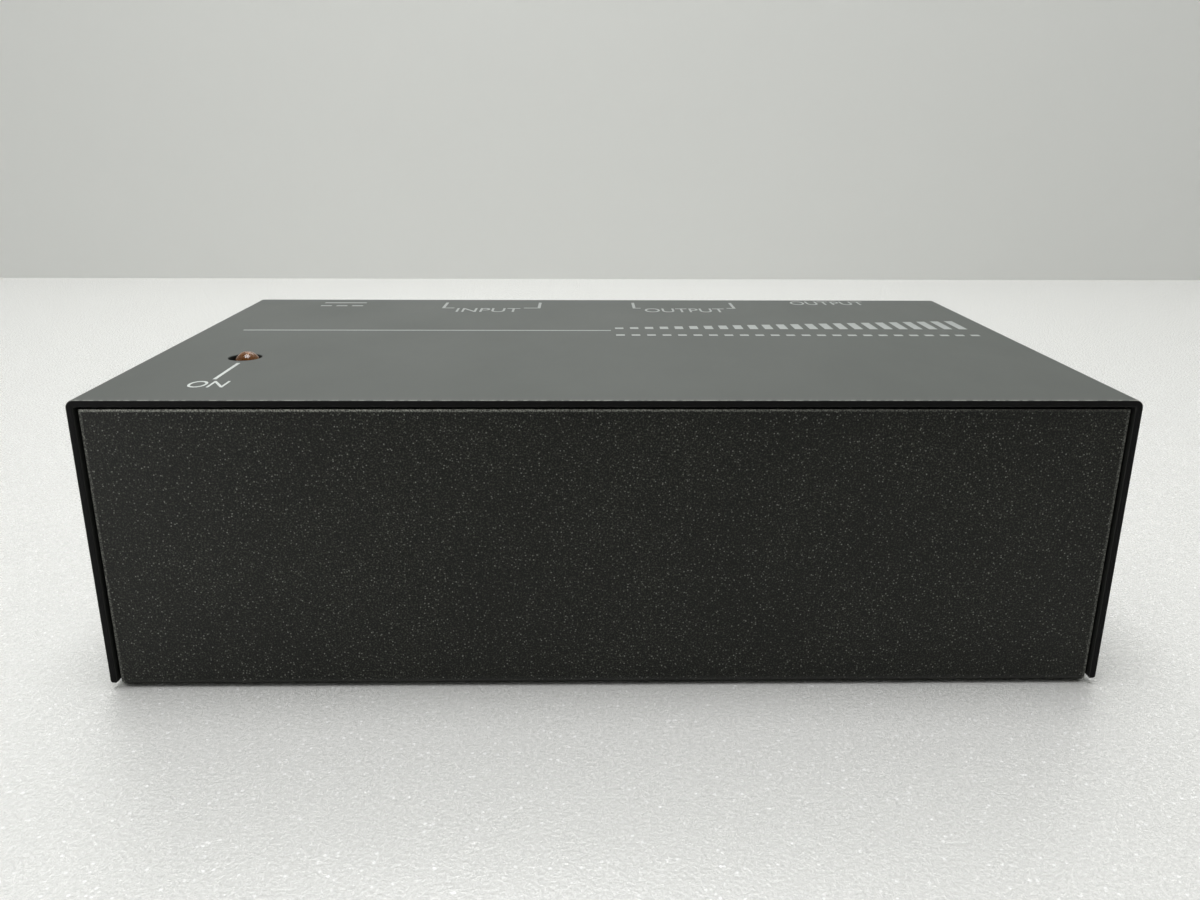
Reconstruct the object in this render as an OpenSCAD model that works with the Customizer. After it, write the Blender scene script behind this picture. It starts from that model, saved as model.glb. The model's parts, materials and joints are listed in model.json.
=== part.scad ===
// Compact phono preamplifier: a folded steel case that holds a circuit board and its sockets.
// Millimetres, +Z up. The origin is the centre of the case's underside. The bare front panel
// faces -Y, the sockets face +Y, and the power lamp shows through a hole in the top.

/* [Case] */
// Width over the cover's two sides
case_w = 104; // [100:1:120]
// Depth of the cover, front edge to rear edge
case_d = 60; // [60:1:80]
// Height from the underside of the chassis to the top of the cover
case_h = 31.4; // [29.6:0.2:40]
// Sheet thickness of the cover
cover_t = 0.7; // [0.5:0.1:1]
// Inner radius of the cover's bends
cover_inner_r = 0.1; // [0.1:0.1:1]
// Rounding of the lower outer edges of the cover's sides
cover_edge_r = 0.3; // [0.1:0.05:0.4]
// Height above the underside at which the cover's sides end
cover_lift = 0.8; // [0.1:0.1:1]
// Sheet thickness of the chassis
base_t = 1; // [0.8:0.1:1.4]
// Inner radius of the chassis's bends
base_inner_r = 0.2; // [0.1:0.1:0.8]
// Gap between the chassis's panels and the cover
panel_gap = 0.3; // [0.1:0.1:0.8]
// How far the front and rear panels sit back from the cover's edges
panel_recess = 0.4; // [0.1:0.1:1.5]

/* [Cover screws] */
// Width of each ear that the cover is screwed to
ear_w = 9; // [8:0.5:14]
// Height of the ears above the cover screws' axes
ear_rise = 4; // [3.2:0.2:6]
// Width of the relief cut on each side of an ear
ear_relief = 0.6; // [0.4:0.1:1]
// Height of the cover screws' axes above the board
cover_screw_rise = 3.2; // [2.6:0.1:5]
// Distance between the front and the rear cover screws
cover_screw_pitch = 40; // [34:1:46]
// Length of a cover screw's thread
cover_screw_l = 5; // [4:0.5:6]

/* [Screws] */
// Thread radius of the machine screws
screw_r = 1.45; // [1.2:0.05:1.6]
// Radius of the screws' pan heads
screw_head_r = 2.75; // [2.5:0.05:3]
// Height of the screws' pan heads
screw_head_h = 1.9; // [1.6:0.1:2.2]
// Length of the cross recess's arms, tip to tip
recess_l = 3; // [2.4:0.1:3.4]
// Width of the cross recess's arms
recess_w = 0.7; // [0.5:0.05:0.9]
// Depth of the cross recess
recess_depth = 1.1; // [0.8:0.1:1.3]

/* [Board] */
// Thickness of the circuit board
board_t = 1.6; // [1.2:0.2:2]
// Height of the standoffs above the chassis's bottom
standoff_h = 4.2; // [3.6:0.2:5]
// Radius of the standoffs
standoff_r = 2.5; // [2.2:0.1:3]
// Radius of the standoffs' stems in the chassis's bottom
stem_r = 2.1; // [1.8:0.1:2.4]
// Gap between the board and the ears
board_side_gap = 1.3; // [0.8:0.1:2]
// Gap between the board and the front panel
board_front_gap = 1; // [0.5:0.1:2]
// Gap between the board and the rear panel
board_rear_gap = 0.6; // [0.3:0.1:1.2]
// Distance from the board's edges to its screws
board_screw_inset = 3.5; // [3.2:0.1:5]

/* [Lamp] */
// Radius of the lamp's lens
lamp_r = 1.5; // [1.3:0.1:1.8]
// Radius of the lamp's flange
lamp_flange_r = 1.9; // [1.8:0.05:2.2]
// Thickness of the lamp's flange
lamp_flange_h = 1; // [0.8:0.1:1.4]
// Height of the lamp from its foot to where the dome starts
lamp_body_h = 3.8; // [3:0.1:4.5]
// How far the dome stands above the cover
lamp_rise = 0.65; // [0.2:0.05:1.2]
// Distance from the cover's front edge to the lamp's hole
lamp_hole_front = 19.2; // [16:0.1:24]
// Distance from the cover's left side to the lamp's hole
lamp_hole_left = 11; // [9:0.1:12]
// Radial gap between the lamp and its hole
lamp_hole_gap = 0.4; // [0.3:0.05:0.6]
// How far the lamp stands off the hole's centre, to the right
lamp_offset = 0.25; // [0:0.05:0.25]
// Wall of the lamp's spacer tube
spacer_wall = 0.35; // [0.3:0.05:0.5]
// Side of the lamp's square leads
lamp_lead = 0.45; // [0.35:0.05:0.5]
// Distance between the lamp's leads
lamp_lead_pitch = 2.54; // [2:0.02:2.6]

/* [Phono sockets] */
// Distance from the case's centre to the input pair's centre
input_x = -16; // [-17:0.5:-15]
// Distance from the case's centre to the output pair's centre
output_x = 12.5; // [11:0.5:13]
// Distance between the two sockets of a pair
phono_pitch = 14; // [13:0.5:15]
// Height of the socket axes above the board
socket_axis_h = 8.5; // [8:0.1:9]
// Material of a block beyond its socket axes, to each side
block_side = 4.7; // [4.2:0.1:5]
// Height of a block above its socket axes
block_rise = 6; // [5.4:0.1:6]
// Depth of a block behind the rear panel
block_d = 10; // [9:0.5:12]
// Radius of the boss for a block's screw
block_boss_r = 3.5; // [3.2:0.1:4]
// Height of a block's screw above the socket axes
block_screw_rise = 5; // [4.8:0.1:5.6]
// Length of a block's screw below its head
block_screw_l = 8; // [6:0.5:9]
// Radius of the coloured insulator's collar
collar_r = 4.8; // [4.6:0.05:5]
// How far the collar stands out of the rear panel
collar_out = 1; // [0.6:0.1:1.6]
// Outer radius of the socket's metal shell
shell_r = 4.15; // [4:0.05:4.2]
// Wall of the metal shell
shell_t = 0.4; // [0.3:0.05:0.5]
// Length of the metal shell in front of the collar
shell_l = 7.8; // [7:0.1:9]
// How far the insulator's core ends inside the shell
core_recess = 0.8; // [0.4:0.1:1.5]
// Radius of the hole for the plug's centre pin
contact_r = 1.62; // [1.6:0.01:1.68]
// Wall of the centre contact's tube
contact_t = 0.3; // [0.25:0.05:0.4]
// Thickness of the insulator in front of the centre contact
contact_lip = 1; // [0.6:0.1:1.4]

/* [Line socket] */
// Distance from the case's centre to the line socket
line_x = 34.5; // [34:0.5:36]
// Width of the line socket's body
line_body_w = 15.2; // [15:0.2:16]
// Height of the body above the socket's axis
line_body_rise = 8; // [7.8:0.1:8.4]
// Depth of the body behind the rear panel
line_body_d = 26; // [25:0.5:27]
// Thickness of the body's wall behind the panel
line_front_wall = 3; // [2.5:0.1:3.5]
// Thickness of the body's rear wall
line_back_wall = 1.2; // [1:0.1:1.6]
// Radius of the cavity that takes the plug
line_cavity_r = 3.6; // [3.4:0.05:3.8]
// Outer radius of the bushing
bushing_r = 5.5; // [5:0.1:5.8]
// Radius of the bushing's bore, for a plug of 6.35 mm
bushing_bore_r = 3.25; // [3.2:0.01:3.3]
// How far the bushing stands out of the rear panel
bushing_out = 5; // [4.5:0.1:6]
// Width across the flats of the bushing's nut
line_nut_af = 13; // [12.6:0.2:14]
// Thickness of the bushing's nut
line_nut_t = 2.2; // [1.8:0.1:2.6]
// Outer radius of the bushing's washer
line_washer_r = 7.2; // [7:0.1:7.6]
// Thickness of the bushing's washer
line_washer_t = 0.6; // [0.4:0.1:0.8]

/* [DC inlet] */
// Distance from the case's centre to the DC inlet
dc_x = -37.8; // [-39:0.2:-37]
// Width of the DC inlet's housing
dc_w = 9; // [8.8:0.1:9.2]
// Depth of the housing behind the rear panel
dc_d = 14; // [13.5:0.1:15]
// Height of the inlet's axis above the board
dc_axis_h = 6.5; // [6:0.1:7]
// Height of the housing above the inlet's axis
dc_rise = 4.5; // [4.4:0.1:5]
// Radius of the housing's round nose in the rear panel
dc_nose_r = 4; // [3.8:0.1:4.3]
// Radius of the inlet's cavity
dc_cavity_r = 3.15; // [3:0.05:3.25]
// Depth of the inlet's cavity from the nose's face
dc_cavity_d = 10.5; // [10:0.1:11]
// Radius of the centre pin, for a plug with a 2.1 mm hole
dc_pin_r = 1; // [0.95:0.01:1.03]
// How far the centre pin's tip stands back from the nose's face
dc_pin_recess = 0.7; // [0.4:0.1:1.5]
// Radius of the centre pin's stem inside the housing
dc_stem_r = 0.8; // [0.6:0.05:0.9]

/* [Ground terminal] */
// Distance from the case's centre to the ground terminal
ground_x = -30.3; // [-30.6:0.1:-30]
// Distance from the rear panel's top edge down to the ground terminal
ground_drop = 5.6; // [5:0.1:5.8]
// Length of the ground screw below its head
ground_screw_l = 8; // [7.5:0.1:9]
// Radius of the toothed washer
ground_washer_r = 3.4; // [3.2:0.05:3.6]
// Thickness of the toothed washer
ground_washer_t = 0.6; // [0.4:0.05:0.8]
// Radius of the clinched nut inside the rear panel
ground_nut_r = 2.8; // [2.5:0.05:2.85]
// Thickness of the clinched nut
ground_nut_t = 2.4; // [2:0.1:3]

/* [Contact springs] */
// Thickness of the contact springs' strip
strip_t = 0.35; // [0.25:0.05:0.4]
// Width of the contact springs' strip
strip_w = 2.4; // [2:0.1:2.6]
// Gap on each side of a spring in its slot
strip_gap = 0.25; // [0.15:0.05:0.35]
// Distance from the line socket's axis to the springs' noses
line_nose_r = 2.5; // [2.4:0.05:2.8]
// Distance from the DC inlet's axis to the spring's nose
dc_nose_contact_r = 2.35; // [2.2:0.05:2.6]

/* [Electronics] */
// Length of an eight-pin chip
chip_l = 9.6; // [9:0.1:10]
// Width of an eight-pin chip
chip_w = 6.4; // [6:0.1:6.6]
// Height of a chip's body
chip_h = 3.3; // [3:0.1:3.6]
// Gap under a chip's body
chip_lift = 0.5; // [0.3:0.1:0.8]
// Distance between a chip's legs
leg_pitch = 2.54; // [2.3:0.02:2.6]
// Distance between the two rows of legs
leg_rows = 7.62; // [7.4:0.02:7.8]
// Radius of the filter capacitors
filter_cap_r = 5; // [4.5:0.1:5.2]
// Height of the filter capacitors
filter_cap_h = 12.5; // [11:0.5:16]
// Radius of the output capacitors
output_cap_r = 4; // [3.5:0.1:4.1]
// Height of the output capacitors
output_cap_h = 11.5; // [10:0.5:14]
// Radius of the coupling capacitors
coupling_cap_r = 2.5; // [2.2:0.1:2.8]
// Height of the coupling capacitors
coupling_cap_h = 11; // [9:0.5:13]
// Number of coupling capacitors along the front edge
coupling_cap_count = 11; // [5:1:11]
// Length of a film capacitor
film_cap_l = 7.2; // [6.6:0.1:7.8]
// Thickness of a film capacitor
film_cap_t = 3.5; // [3:0.1:3.8]
// Height of a film capacitor
film_cap_h = 7.5; // [6.5:0.1:9]
// Radius of a ceramic disc capacitor
disc_r = 2.5; // [2.1:0.1:2.6]
// Thickness of a ceramic disc capacitor
disc_t = 2; // [1.6:0.1:2.4]
// Length of the ceramic capacitors' leads above the board
disc_lift = 1; // [0.6:0.1:2]
// Length of a resistor's body
resistor_l = 6.3; // [5.8:0.1:6.6]
// Radius of a resistor's end bells
resistor_r = 1.15; // [1:0.05:1.25]
// Length of a ferrite bead
bead_l = 5; // [4:0.1:6]
// Radius of a ferrite bead
bead_r = 1.75; // [1.5:0.05:1.85]
// Length of a diode's body
diode_l = 5.2; // [4.6:0.1:5.6]
// Radius of a diode's body
diode_r = 1.35; // [1.2:0.05:1.5]
// Distance between the two holes of an axial component
axial_span = 10.2; // [9.6:0.1:10.8]
// Radius of the component leads
lead_r = 0.3; // [0.2:0.05:0.35]
// Length of the voltage regulator's body
reg_w = 10; // [9.6:0.1:10.4]
// Thickness of the voltage regulator's body
reg_t = 4.5; // [4:0.1:4.7]
// Height of the voltage regulator's body
reg_h = 9; // [8.4:0.1:9.6]
// Length of the voltage regulator's legs above the board
reg_leg_l = 3; // [2:0.1:4]
// Thickness of the regulator's metal tab and legs
reg_tab_t = 1.3; // [1:0.1:1.4]
// Height of the metal tab above the regulator's body
reg_tab_h = 6; // [5:0.1:6.6]
// Height of the solder joints under the board
solder_h = 0.9; // [0.6:0.1:1.2]
// Radius of the solder joints
solder_r = 0.75; // [0.6:0.05:0.9]

/* [Hidden] */
$fn = 48;

// clearances
thread_gap = 0.05;       // between a thread and its hole
screw_hole_gap = 0.25;   // between a screw and a plain hole
seat_gap = 0.02;         // between a pressed-in round piece and its seat
panel_hole_gap = 0.15;   // between a socket and its hole in the rear panel
washer_gap = 0.05;       // between the ground screw's head and its washer
thread_end_gap = 0.6;    // between a board screw's end and the chassis's bottom
lead_gap = 0.1;          // between a lead and the hole of its ferrite bead
axial_lift = 0.15;       // between an axial component and the board
slot_end_gap = 0.9;      // between a spring's free end and the end of its slot
slot_root_gap = 0.4;     // between a spring's held end and the end of its slot
pin_clearance = 0.65;    // between a board screw's head and the line socket's pins
cap_clearance = 0.3;     // between an output capacitor and a board screw's head
past = 1;                // how far a cut runs past the face that it opens

// the case's planes
cover_outer_r = cover_inner_r + cover_t;
base_outer_r = base_inner_r + base_t;
ear_notch_gap = 0.4;     // between an ear's bend and the relief cut beside it
side_in_x = case_w / 2 - cover_t;
ear_in_x = side_in_x - base_t;
panel_w = 2 * (side_in_x - panel_gap);
panel_top = case_h - cover_t - panel_gap;
panel_out_y = case_d / 2 - panel_recess;
panel_in_y = panel_out_y - base_t;

// the sockets' flat pins
pin_w = 1;               // width
pin_t = 0.4;             // thickness
pin_step = 0.8;          // how far they stand behind a socket
pin_drop = 2;            // how far below the socket's axis they leave it
low_pin_drop = 5;        // the same for a pair's middle pin and for the line socket

// the board and its screws
board_z = base_t + standoff_h;
board_top = board_z + board_t;
board_w = 2 * (ear_in_x - board_side_gap);
board_front_y = -panel_in_y + board_front_gap;
board_rear_y = panel_in_y - board_rear_gap;
socket_z = board_top + socket_axis_h;
line_back_y = panel_in_y - line_body_d;
block_back_y = panel_in_y - block_d;
board_screw_x = board_w / 2 - board_screw_inset;
board_screw_front_y = board_front_y + board_screw_inset;
line_pin_y = line_back_y - pin_step - pin_t;
board_screw_rear_y = line_pin_y - screw_head_r - pin_clearance;
board_screw_spots = [
    for (x = [-board_screw_x, board_screw_x], y = [board_screw_front_y, board_screw_rear_y]) [x, y]
];
cover_screw_z = board_top + cover_screw_rise;
ear_h = cover_screw_z + ear_rise;
cover_screw_spots = [for (side = [-1, 1], end = [-1, 1]) [side, end * cover_screw_pitch / 2]];

// the lamp
lamp_lead_gap = 0.2;     // between the leads and the spacer's bore
lamp_hole_x = -case_w / 2 + lamp_hole_left;
lamp_x = lamp_hole_x + lamp_offset;
lamp_y = -case_d / 2 + lamp_hole_front;
lamp_z = case_h + lamp_rise - lamp_r - lamp_body_h;
spacer_bore_r = (lamp_lead_pitch + lamp_lead) / 2 + lamp_lead_gap;

// the rear sockets
input_pair = [input_x - phono_pitch / 2, input_x + phono_pitch / 2];
output_pair = [output_x - phono_pitch / 2, output_x + phono_pitch / 2];
collar_face_y = panel_out_y + collar_out;
shell_tip_y = collar_face_y + shell_l;
core_tip_y = shell_tip_y - core_recess;
core_r = shell_r - shell_t - seat_gap;
contact_out_r = contact_r + contact_t;
contact_floor = 1.5;     // thickness of the centre contact's closed end
block_back_wall = 1;     // thickness of a block behind its sockets
block_screw_z = socket_z + block_screw_rise;
dc_pin_in = 1.2;         // from the inlet's sides to its flat pins
dc_z = board_top + dc_axis_h;
dc_back_y = panel_in_y - dc_d;
dc_floor_y = panel_out_y - dc_cavity_d;
ground_z = panel_top - ground_drop;
slot_w = strip_w + 2 * strip_gap;
tip_depth = 4.2;         // from the cavity's end to the tip spring's nose
tip_to_ring = 7.9;       // from the tip spring's nose to the ring spring's
root_depth = 3.2;        // from the bushing's end to where both springs are held
root_wall = 2.2;         // from the cavity to the springs' held ends
tip_slope = [2.7, 1.6];  // the tip spring's slope up to its nose: its length and height
tip_tail = [-2.1, 1.5];  // the same beyond its nose
ring_slope = [2.3, 2.1]; // the ring spring's slope up to its nose
ring_tail = [-1.8, 1.5];
line_tip_y = line_back_y + line_back_wall + tip_depth;
line_ring_y = line_tip_y + tip_to_ring;
line_root_y = panel_in_y - line_front_wall - root_depth;
line_root_r = line_cavity_r + root_wall;
dc_nose_depth = 4.6;     // from the inlet's face to its spring's nose
dc_root_depth = 2.3;     // from the inlet's back to its spring's held end
dc_root_wall = 0.6;      // from the cavity to the spring's held end
dc_slope = [-2, -0.2];   // from the spring's nose back to its slope, and from its held end down to it
dc_tail_l = 1.4;         // length of the spring beyond its nose
dc_slot_gap = 0.2;       // between that end and the end of its slot
dc_nose_y = panel_out_y - dc_nose_depth;
dc_root_y = dc_back_y + dc_root_depth;
dc_root_r = dc_cavity_r + dc_root_wall;

// places on the board: u runs across it from -1 to 1, v from its front edge to the sockets' pins
layout_front = board_front_y;
layout_gap = 0.2;        // between that depth's end and the sockets' pins
layout_depth = block_back_y - pin_step - pin_t - layout_gap - layout_front;
function spot(u, v) = [u * board_w / 2, layout_front + v * layout_depth];
function row(count, pitch, centre, v) =
    [for (i = [0:count - 1]) [centre + (i - (count - 1) / 2) * pitch, layout_front + v * layout_depth]];

row_centre = -2;
axial_gap = 1.2;         // between two axial components' leads
coupling_cap_gap = 1.9;  // between two coupling capacitors
film_cap_gap = 1.8;      // between two film capacitors
disc_gap = 1;            // between two ceramic capacitors
axial_pitch = axial_span + 2 * lead_r + axial_gap;
resistor_spots = [for (v = [0.2, 0.27, 0.77, 0.845]) each row(4, axial_pitch, row_centre, v)];
bead_spots = row(4, axial_pitch, row_centre, 0.935);
coupling_cap_spots = row(coupling_cap_count, 2 * coupling_cap_r + coupling_cap_gap, 0, 0.08);
film_cap_flat_spots = row(5, film_cap_l + film_cap_gap, row_centre, 0.37);
film_cap_upright_spots = [spot(-0.49, 0.54), spot(-0.02, 0.54), spot(0.43, 0.54)];
disc_spots = row(8, 2 * disc_r + disc_gap, -1, 0.69);
chip_spots = [spot(-0.245, 0.535), spot(0.2, 0.535)];
reg_edge_gap = 2.2;      // between the regulator and the board's left edge
reg_spot = [-board_w / 2 + reg_t / 2 + reg_edge_gap, spot(0, 0.8)[1]];

// the left column: three diodes and two filter capacitors, spread evenly between the coupling
// capacitors and the DC inlet's pins
column_x = spot(-0.67, 0)[0];
column_front_y = coupling_cap_spots[0][1] + coupling_cap_r;
column_rear_y = dc_back_y - pin_step - pin_t;
column_gap = (column_rear_y - column_front_y - 6 * diode_r - 4 * filter_cap_r) / 6;
diode_spots = [for (i = [0:2]) [column_x, column_front_y + (i + 1) * column_gap + (2 * i + 1) * diode_r]];
filter_cap_spots = [
    for (i = [0, 1]) [column_x, column_rear_y - (i + 1) * column_gap - (2 * i + 1) * filter_cap_r]
];

// the output capacitors: two beside the right board screws' heads, and two to the left of these,
// spread evenly between the coupling capacitors and the line socket's pins
outer_cap_in = [3.4, 6]; // how far the front one and the rear one stand in from the screws
inner_cap_gap = 0.5;     // between the outer and the inner capacitors
inner_cap_x = board_screw_x - outer_cap_in[1] - 2 * output_cap_r - inner_cap_gap;
inner_space = (line_pin_y - column_front_y - 4 * output_cap_r) / 3;
function beside_screw(inset) = sqrt(pow(screw_head_r + output_cap_r + cap_clearance, 2) - inset * inset);
output_cap_spots = [
    [inner_cap_x, column_front_y + inner_space + output_cap_r],
    [inner_cap_x, line_pin_y - inner_space - output_cap_r],
    [board_screw_x - outer_cap_in[0], board_screw_front_y + beside_screw(outer_cap_in[0])],
    [board_screw_x - outer_cap_in[1], board_screw_rear_y - beside_screw(outer_cap_in[1])]
];
axial_spots = concat(resistor_spots, bead_spots, diode_spots);
cap_leg = 0.4;           // a round capacitor's legs stand this share of its radius off its axis
screw_dome = 1.7;        // radius of a screw head's dome, as a share of the head's radius
groove_z = 1.6;          // height of the rolled groove above a round capacitor's foot
groove_r = 0.45;         // radius of that groove
leg_t = 0.3;             // thickness of a chip's legs
leg_w = 0.5;             // width of a chip's legs at the board
leg_shoulder_w = 1.2;    // width of their shoulders
leg_shoulder_h = 1;      // height of their shoulders
chip_notch_r = 0.8;      // radius of the notch that marks a chip's first leg
chip_notch_depth = 0.6;
reg_leg_w = 0.8;         // width of the regulator's legs
reg_leg_t = 0.5;         // thickness of the regulator's legs
reg_foot = 1;            // how far the metal tab starts above the body's foot
reg_hole_r = 1.8;        // radius of the hole in the metal tab
resistor_waist = 0.85;   // radius of a resistor's middle, as a share of its end bells'
tooth_cut_l = 0.7;       // depth of the cuts between the toothed washer's teeth
tooth_cut_w = 0.5;       // width of those cuts
tooth_count = 10;

// ---------- shapes used more than once ----------

// a round bar along +Y between two planes
module bar_y(r, y0, y1) {
    translate([0, y0, 0]) rotate([-90, 0, 0]) cylinder(r = r, h = y1 - y0);
}

// a tube along +Y between two planes
module tube_y(r, bore, y0, y1) {
    difference() {
        bar_y(r, y0, y1);
        bar_y(bore, y0 - past, y1 + past);
    }
}

// a rectangle that stands on its base, with rounded corners
module rounded_rect(w, h, top_r, bottom_r) {
    difference() {
        translate([-w / 2, 0]) square([w, h]);
        for (side = [-1, 1]) {
            corner_cut(side * w / 2, h, -side, -1, top_r);
            corner_cut(side * w / 2, 0, -side, 1, bottom_r);
        }
    }
}

// what rounding takes off a corner: towards gives the corner's inside
module corner_cut(x, y, toward_x, toward_y, r) {
    if (r > 0) difference() {
        translate([x + min(0, toward_x * r), y + min(0, toward_y * r)]) square(r);
        translate([x + toward_x * r, y + toward_y * r]) circle(r = r);
    }
}

// a cross-recess pan head screw: its seat is at z = 0, the head above and the thread below
module pan_screw(thread_l) {
    dome_r = screw_dome * screw_head_r;
    difference() {
        intersection() {
            cylinder(r = screw_head_r, h = screw_head_h);
            translate([0, 0, screw_head_h - dome_r]) sphere(r = dome_r);
        }
        for (turn = [0, 90])
            rotate(turn)
                translate([-recess_l / 2, -recess_w / 2, screw_head_h - recess_depth])
                    cube([recess_l, recess_w, recess_depth + past]);
    }
    translate([0, 0, -thread_l]) cylinder(r = screw_r, h = thread_l);
}

// the same screw with its head towards +Y
module pan_screw_y(thread_l) {
    rotate([-90, 0, 0]) pan_screw(thread_l);
}

// a strip bent along an outline of [along, out] points: it lies in the Y-Z plane
module bent_strip(points, width) {
    upper = [for (i = [len(points) - 1:-1:0]) points[i] + [0, strip_t]];
    translate([-width / 2, 0, 0])
        rotate([90, 0, 90]) linear_extrude(width) polygon(concat(points, upper));
}

// a flat pin that leaves a socket's back face and turns down to the board
module flat_pin(x, back_y, z) {
    translate([x - pin_w / 2, back_y - pin_step, z - pin_t / 2]) cube([pin_w, pin_step, pin_t]);
    translate([x - pin_w / 2, back_y - pin_step - pin_t, board_top])
        cube([pin_w, pin_t, z + pin_t / 2 - board_top]);
}

// ---------- case ----------

module top_cover() {
    color("#34373a") difference() {
        translate([0, case_d / 2, cover_lift]) rotate([90, 0, 0]) linear_extrude(case_d) difference() {
            rounded_rect(case_w, case_h - cover_lift, cover_outer_r, cover_edge_r);
            translate([0, -past])
                rounded_rect(2 * side_in_x, case_h - cover_lift - cover_t + past, cover_inner_r, 0);
        }
        translate([lamp_hole_x, lamp_y, case_h / 2])
            cylinder(r = lamp_r + lamp_hole_gap, h = case_h);
        for (spot = cover_screw_spots)
            translate([0, spot[1], cover_screw_z])
                rotate([0, spot[0] * 90, 0]) cylinder(r = screw_r + screw_hole_gap, h = case_w);
    }
}

module base_chassis() {
    notch_x = ear_in_x - base_inner_r - ear_notch_gap;
    color("#202123") {
        difference() {
            union() {
                difference() {
                    chassis_u();
                    for (spot = cover_screw_spots)
                        translate([spot[0] * (notch_x + case_w / 2), spot[1], 0])
                            cube([case_w, ear_w + 2 * ear_relief, 4 * base_t], center = true);
                }
                for (spot = cover_screw_spots)
                    translate([0, spot[1], 0]) mirror([spot[0] < 0 ? 1 : 0, 0, 0]) ear(notch_x);
            }
            for (spot = cover_screw_spots)
                translate([0, spot[1], cover_screw_z])
                    rotate([0, spot[0] * 90, 0]) cylinder(r = screw_r + thread_gap, h = case_w);
            for (spot = board_screw_spots)
                translate([spot[0], spot[1], -past])
                    cylinder(r = stem_r + seat_gap, h = base_t + 2 * past);
            rear_panel_holes();
        }
    }
}

// the front panel, bottom and rear panel as one folded sheet
module chassis_u() {
    translate([-panel_w / 2, 0, 0]) rotate([90, 0, 90]) linear_extrude(panel_w) difference() {
        rounded_rect(2 * panel_out_y, panel_top, 0, base_outer_r);
        translate([0, base_t]) rounded_rect(2 * panel_in_y, panel_top, 0, base_inner_r);
    }
}

// one ear, bent up from the bottom sheet on the +X side
module ear(notch_x) {
    start_x = notch_x - base_t / 2;
    reach = side_in_x - start_x;
    translate([start_x, ear_w / 2, 0]) rotate([90, 0, 0]) linear_extrude(ear_w) difference() {
        square([reach, ear_h]);
        corner_cut(reach, 0, -1, 1, base_outer_r);
        translate([-reach - base_t, base_t]) difference() {
            square([2 * reach, ear_h]);
            corner_cut(2 * reach, 0, -1, 1, base_inner_r);
        }
    }
}

module rear_panel_holes() {
    hole_y0 = panel_in_y - past;
    hole_y1 = panel_out_y + past;
    for (x = concat(input_pair, output_pair))
        translate([x, 0, socket_z]) bar_y(collar_r + panel_hole_gap, hole_y0, hole_y1);
    for (x = [input_x, output_x])
        translate([x, 0, block_screw_z]) bar_y(screw_r + screw_hole_gap, hole_y0, hole_y1);
    translate([line_x, 0, socket_z]) bar_y(bushing_r + panel_hole_gap, hole_y0, hole_y1);
    translate([dc_x, 0, dc_z]) bar_y(dc_nose_r + panel_hole_gap, hole_y0, hole_y1);
    translate([ground_x, 0, ground_z]) bar_y(screw_r + screw_hole_gap, hole_y0, hole_y1);
}

module cover_screws() {
    color("#1b1b1c") for (spot = cover_screw_spots)
        translate([spot[0] * case_w / 2, spot[1], cover_screw_z])
            rotate([0, spot[0] * 90, 0]) pan_screw(cover_screw_l);
}

// ---------- board ----------

module board_standoffs() {
    color("#b9bcbe") for (spot = board_screw_spots)
        translate([spot[0], spot[1], 0]) difference() {
            union() {
                cylinder(r = stem_r, h = base_t);
                translate([0, 0, base_t]) cylinder(r = standoff_r, h = standoff_h);
            }
            translate([0, 0, base_t / 2]) cylinder(r = screw_r + thread_gap, h = board_z);
        }
}

module board_screws() {
    color("#b9bcbe") for (spot = board_screw_spots)
        translate([spot[0], spot[1], board_top]) pan_screw(board_t + standoff_h - thread_end_gap);
}

module circuit_board() {
    color("#2f6b3a") difference() {
        translate([-board_w / 2, board_front_y, board_z])
            cube([board_w, board_rear_y - board_front_y, board_t]);
        for (spot = board_screw_spots)
            translate([spot[0], spot[1], 0]) cylinder(r = screw_r + screw_hole_gap, h = board_top + past);
    }
}

module solder_joints() {
    color("#c4c7c9") {
        for (spot = axial_spots, side = [-1, 1])
            solder(spot + [side * axial_span / 2, 0]);
        for (spot = chip_spots, side = [-1, 1], i = [-1.5:1:1.5])
            solder(spot + [i * leg_pitch, side * leg_rows / 2]);
        for (spot = filter_cap_spots, side = [-1, 1])
            solder(spot + [side * cap_leg * filter_cap_r, 0]);
        for (spot = output_cap_spots, side = [-1, 1])
            solder(spot + [side * cap_leg * output_cap_r, 0]);
        for (spot = coupling_cap_spots, side = [-1, 1])
            solder(spot + [side * cap_leg * coupling_cap_r, 0]);
        for (side = [-1, 1])
            solder([lamp_x + side * lamp_lead_pitch / 2, lamp_y]);
        for (x = concat(input_pair, [input_x], output_pair, [output_x]))
            solder([x, block_back_y - pin_step - pin_t / 2]);
    }
}

module solder(spot) {
    translate([spot[0], spot[1], board_z - solder_h])
        cylinder(r1 = solder_r / 3, r2 = solder_r, h = solder_h);
}

// ---------- lamp ----------

module led_lens() {
    color("#b5651d") translate([lamp_x, lamp_y, lamp_z]) {
        cylinder(r = lamp_flange_r, h = lamp_flange_h);
        cylinder(r = lamp_r, h = lamp_body_h);
        translate([0, 0, lamp_body_h]) intersection() {
            sphere(r = lamp_r);
            cylinder(r = 2 * lamp_r, h = 2 * lamp_r);
        }
    }
}

module led_leads() {
    color("#c4c7c9") for (side = [-1, 1])
        translate([lamp_x + side * lamp_lead_pitch / 2 - lamp_lead / 2, lamp_y - lamp_lead / 2, board_top])
            cube([lamp_lead, lamp_lead, lamp_z - board_top]);
}

module led_spacer() {
    color("#17181a") translate([lamp_x, lamp_y, board_top]) difference() {
        cylinder(r = spacer_bore_r + spacer_wall, h = lamp_z - board_top);
        translate([0, 0, -past]) cylinder(r = spacer_bore_r, h = lamp_z - board_top + 2 * past);
    }
}

// ---------- DC inlet ----------

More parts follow.
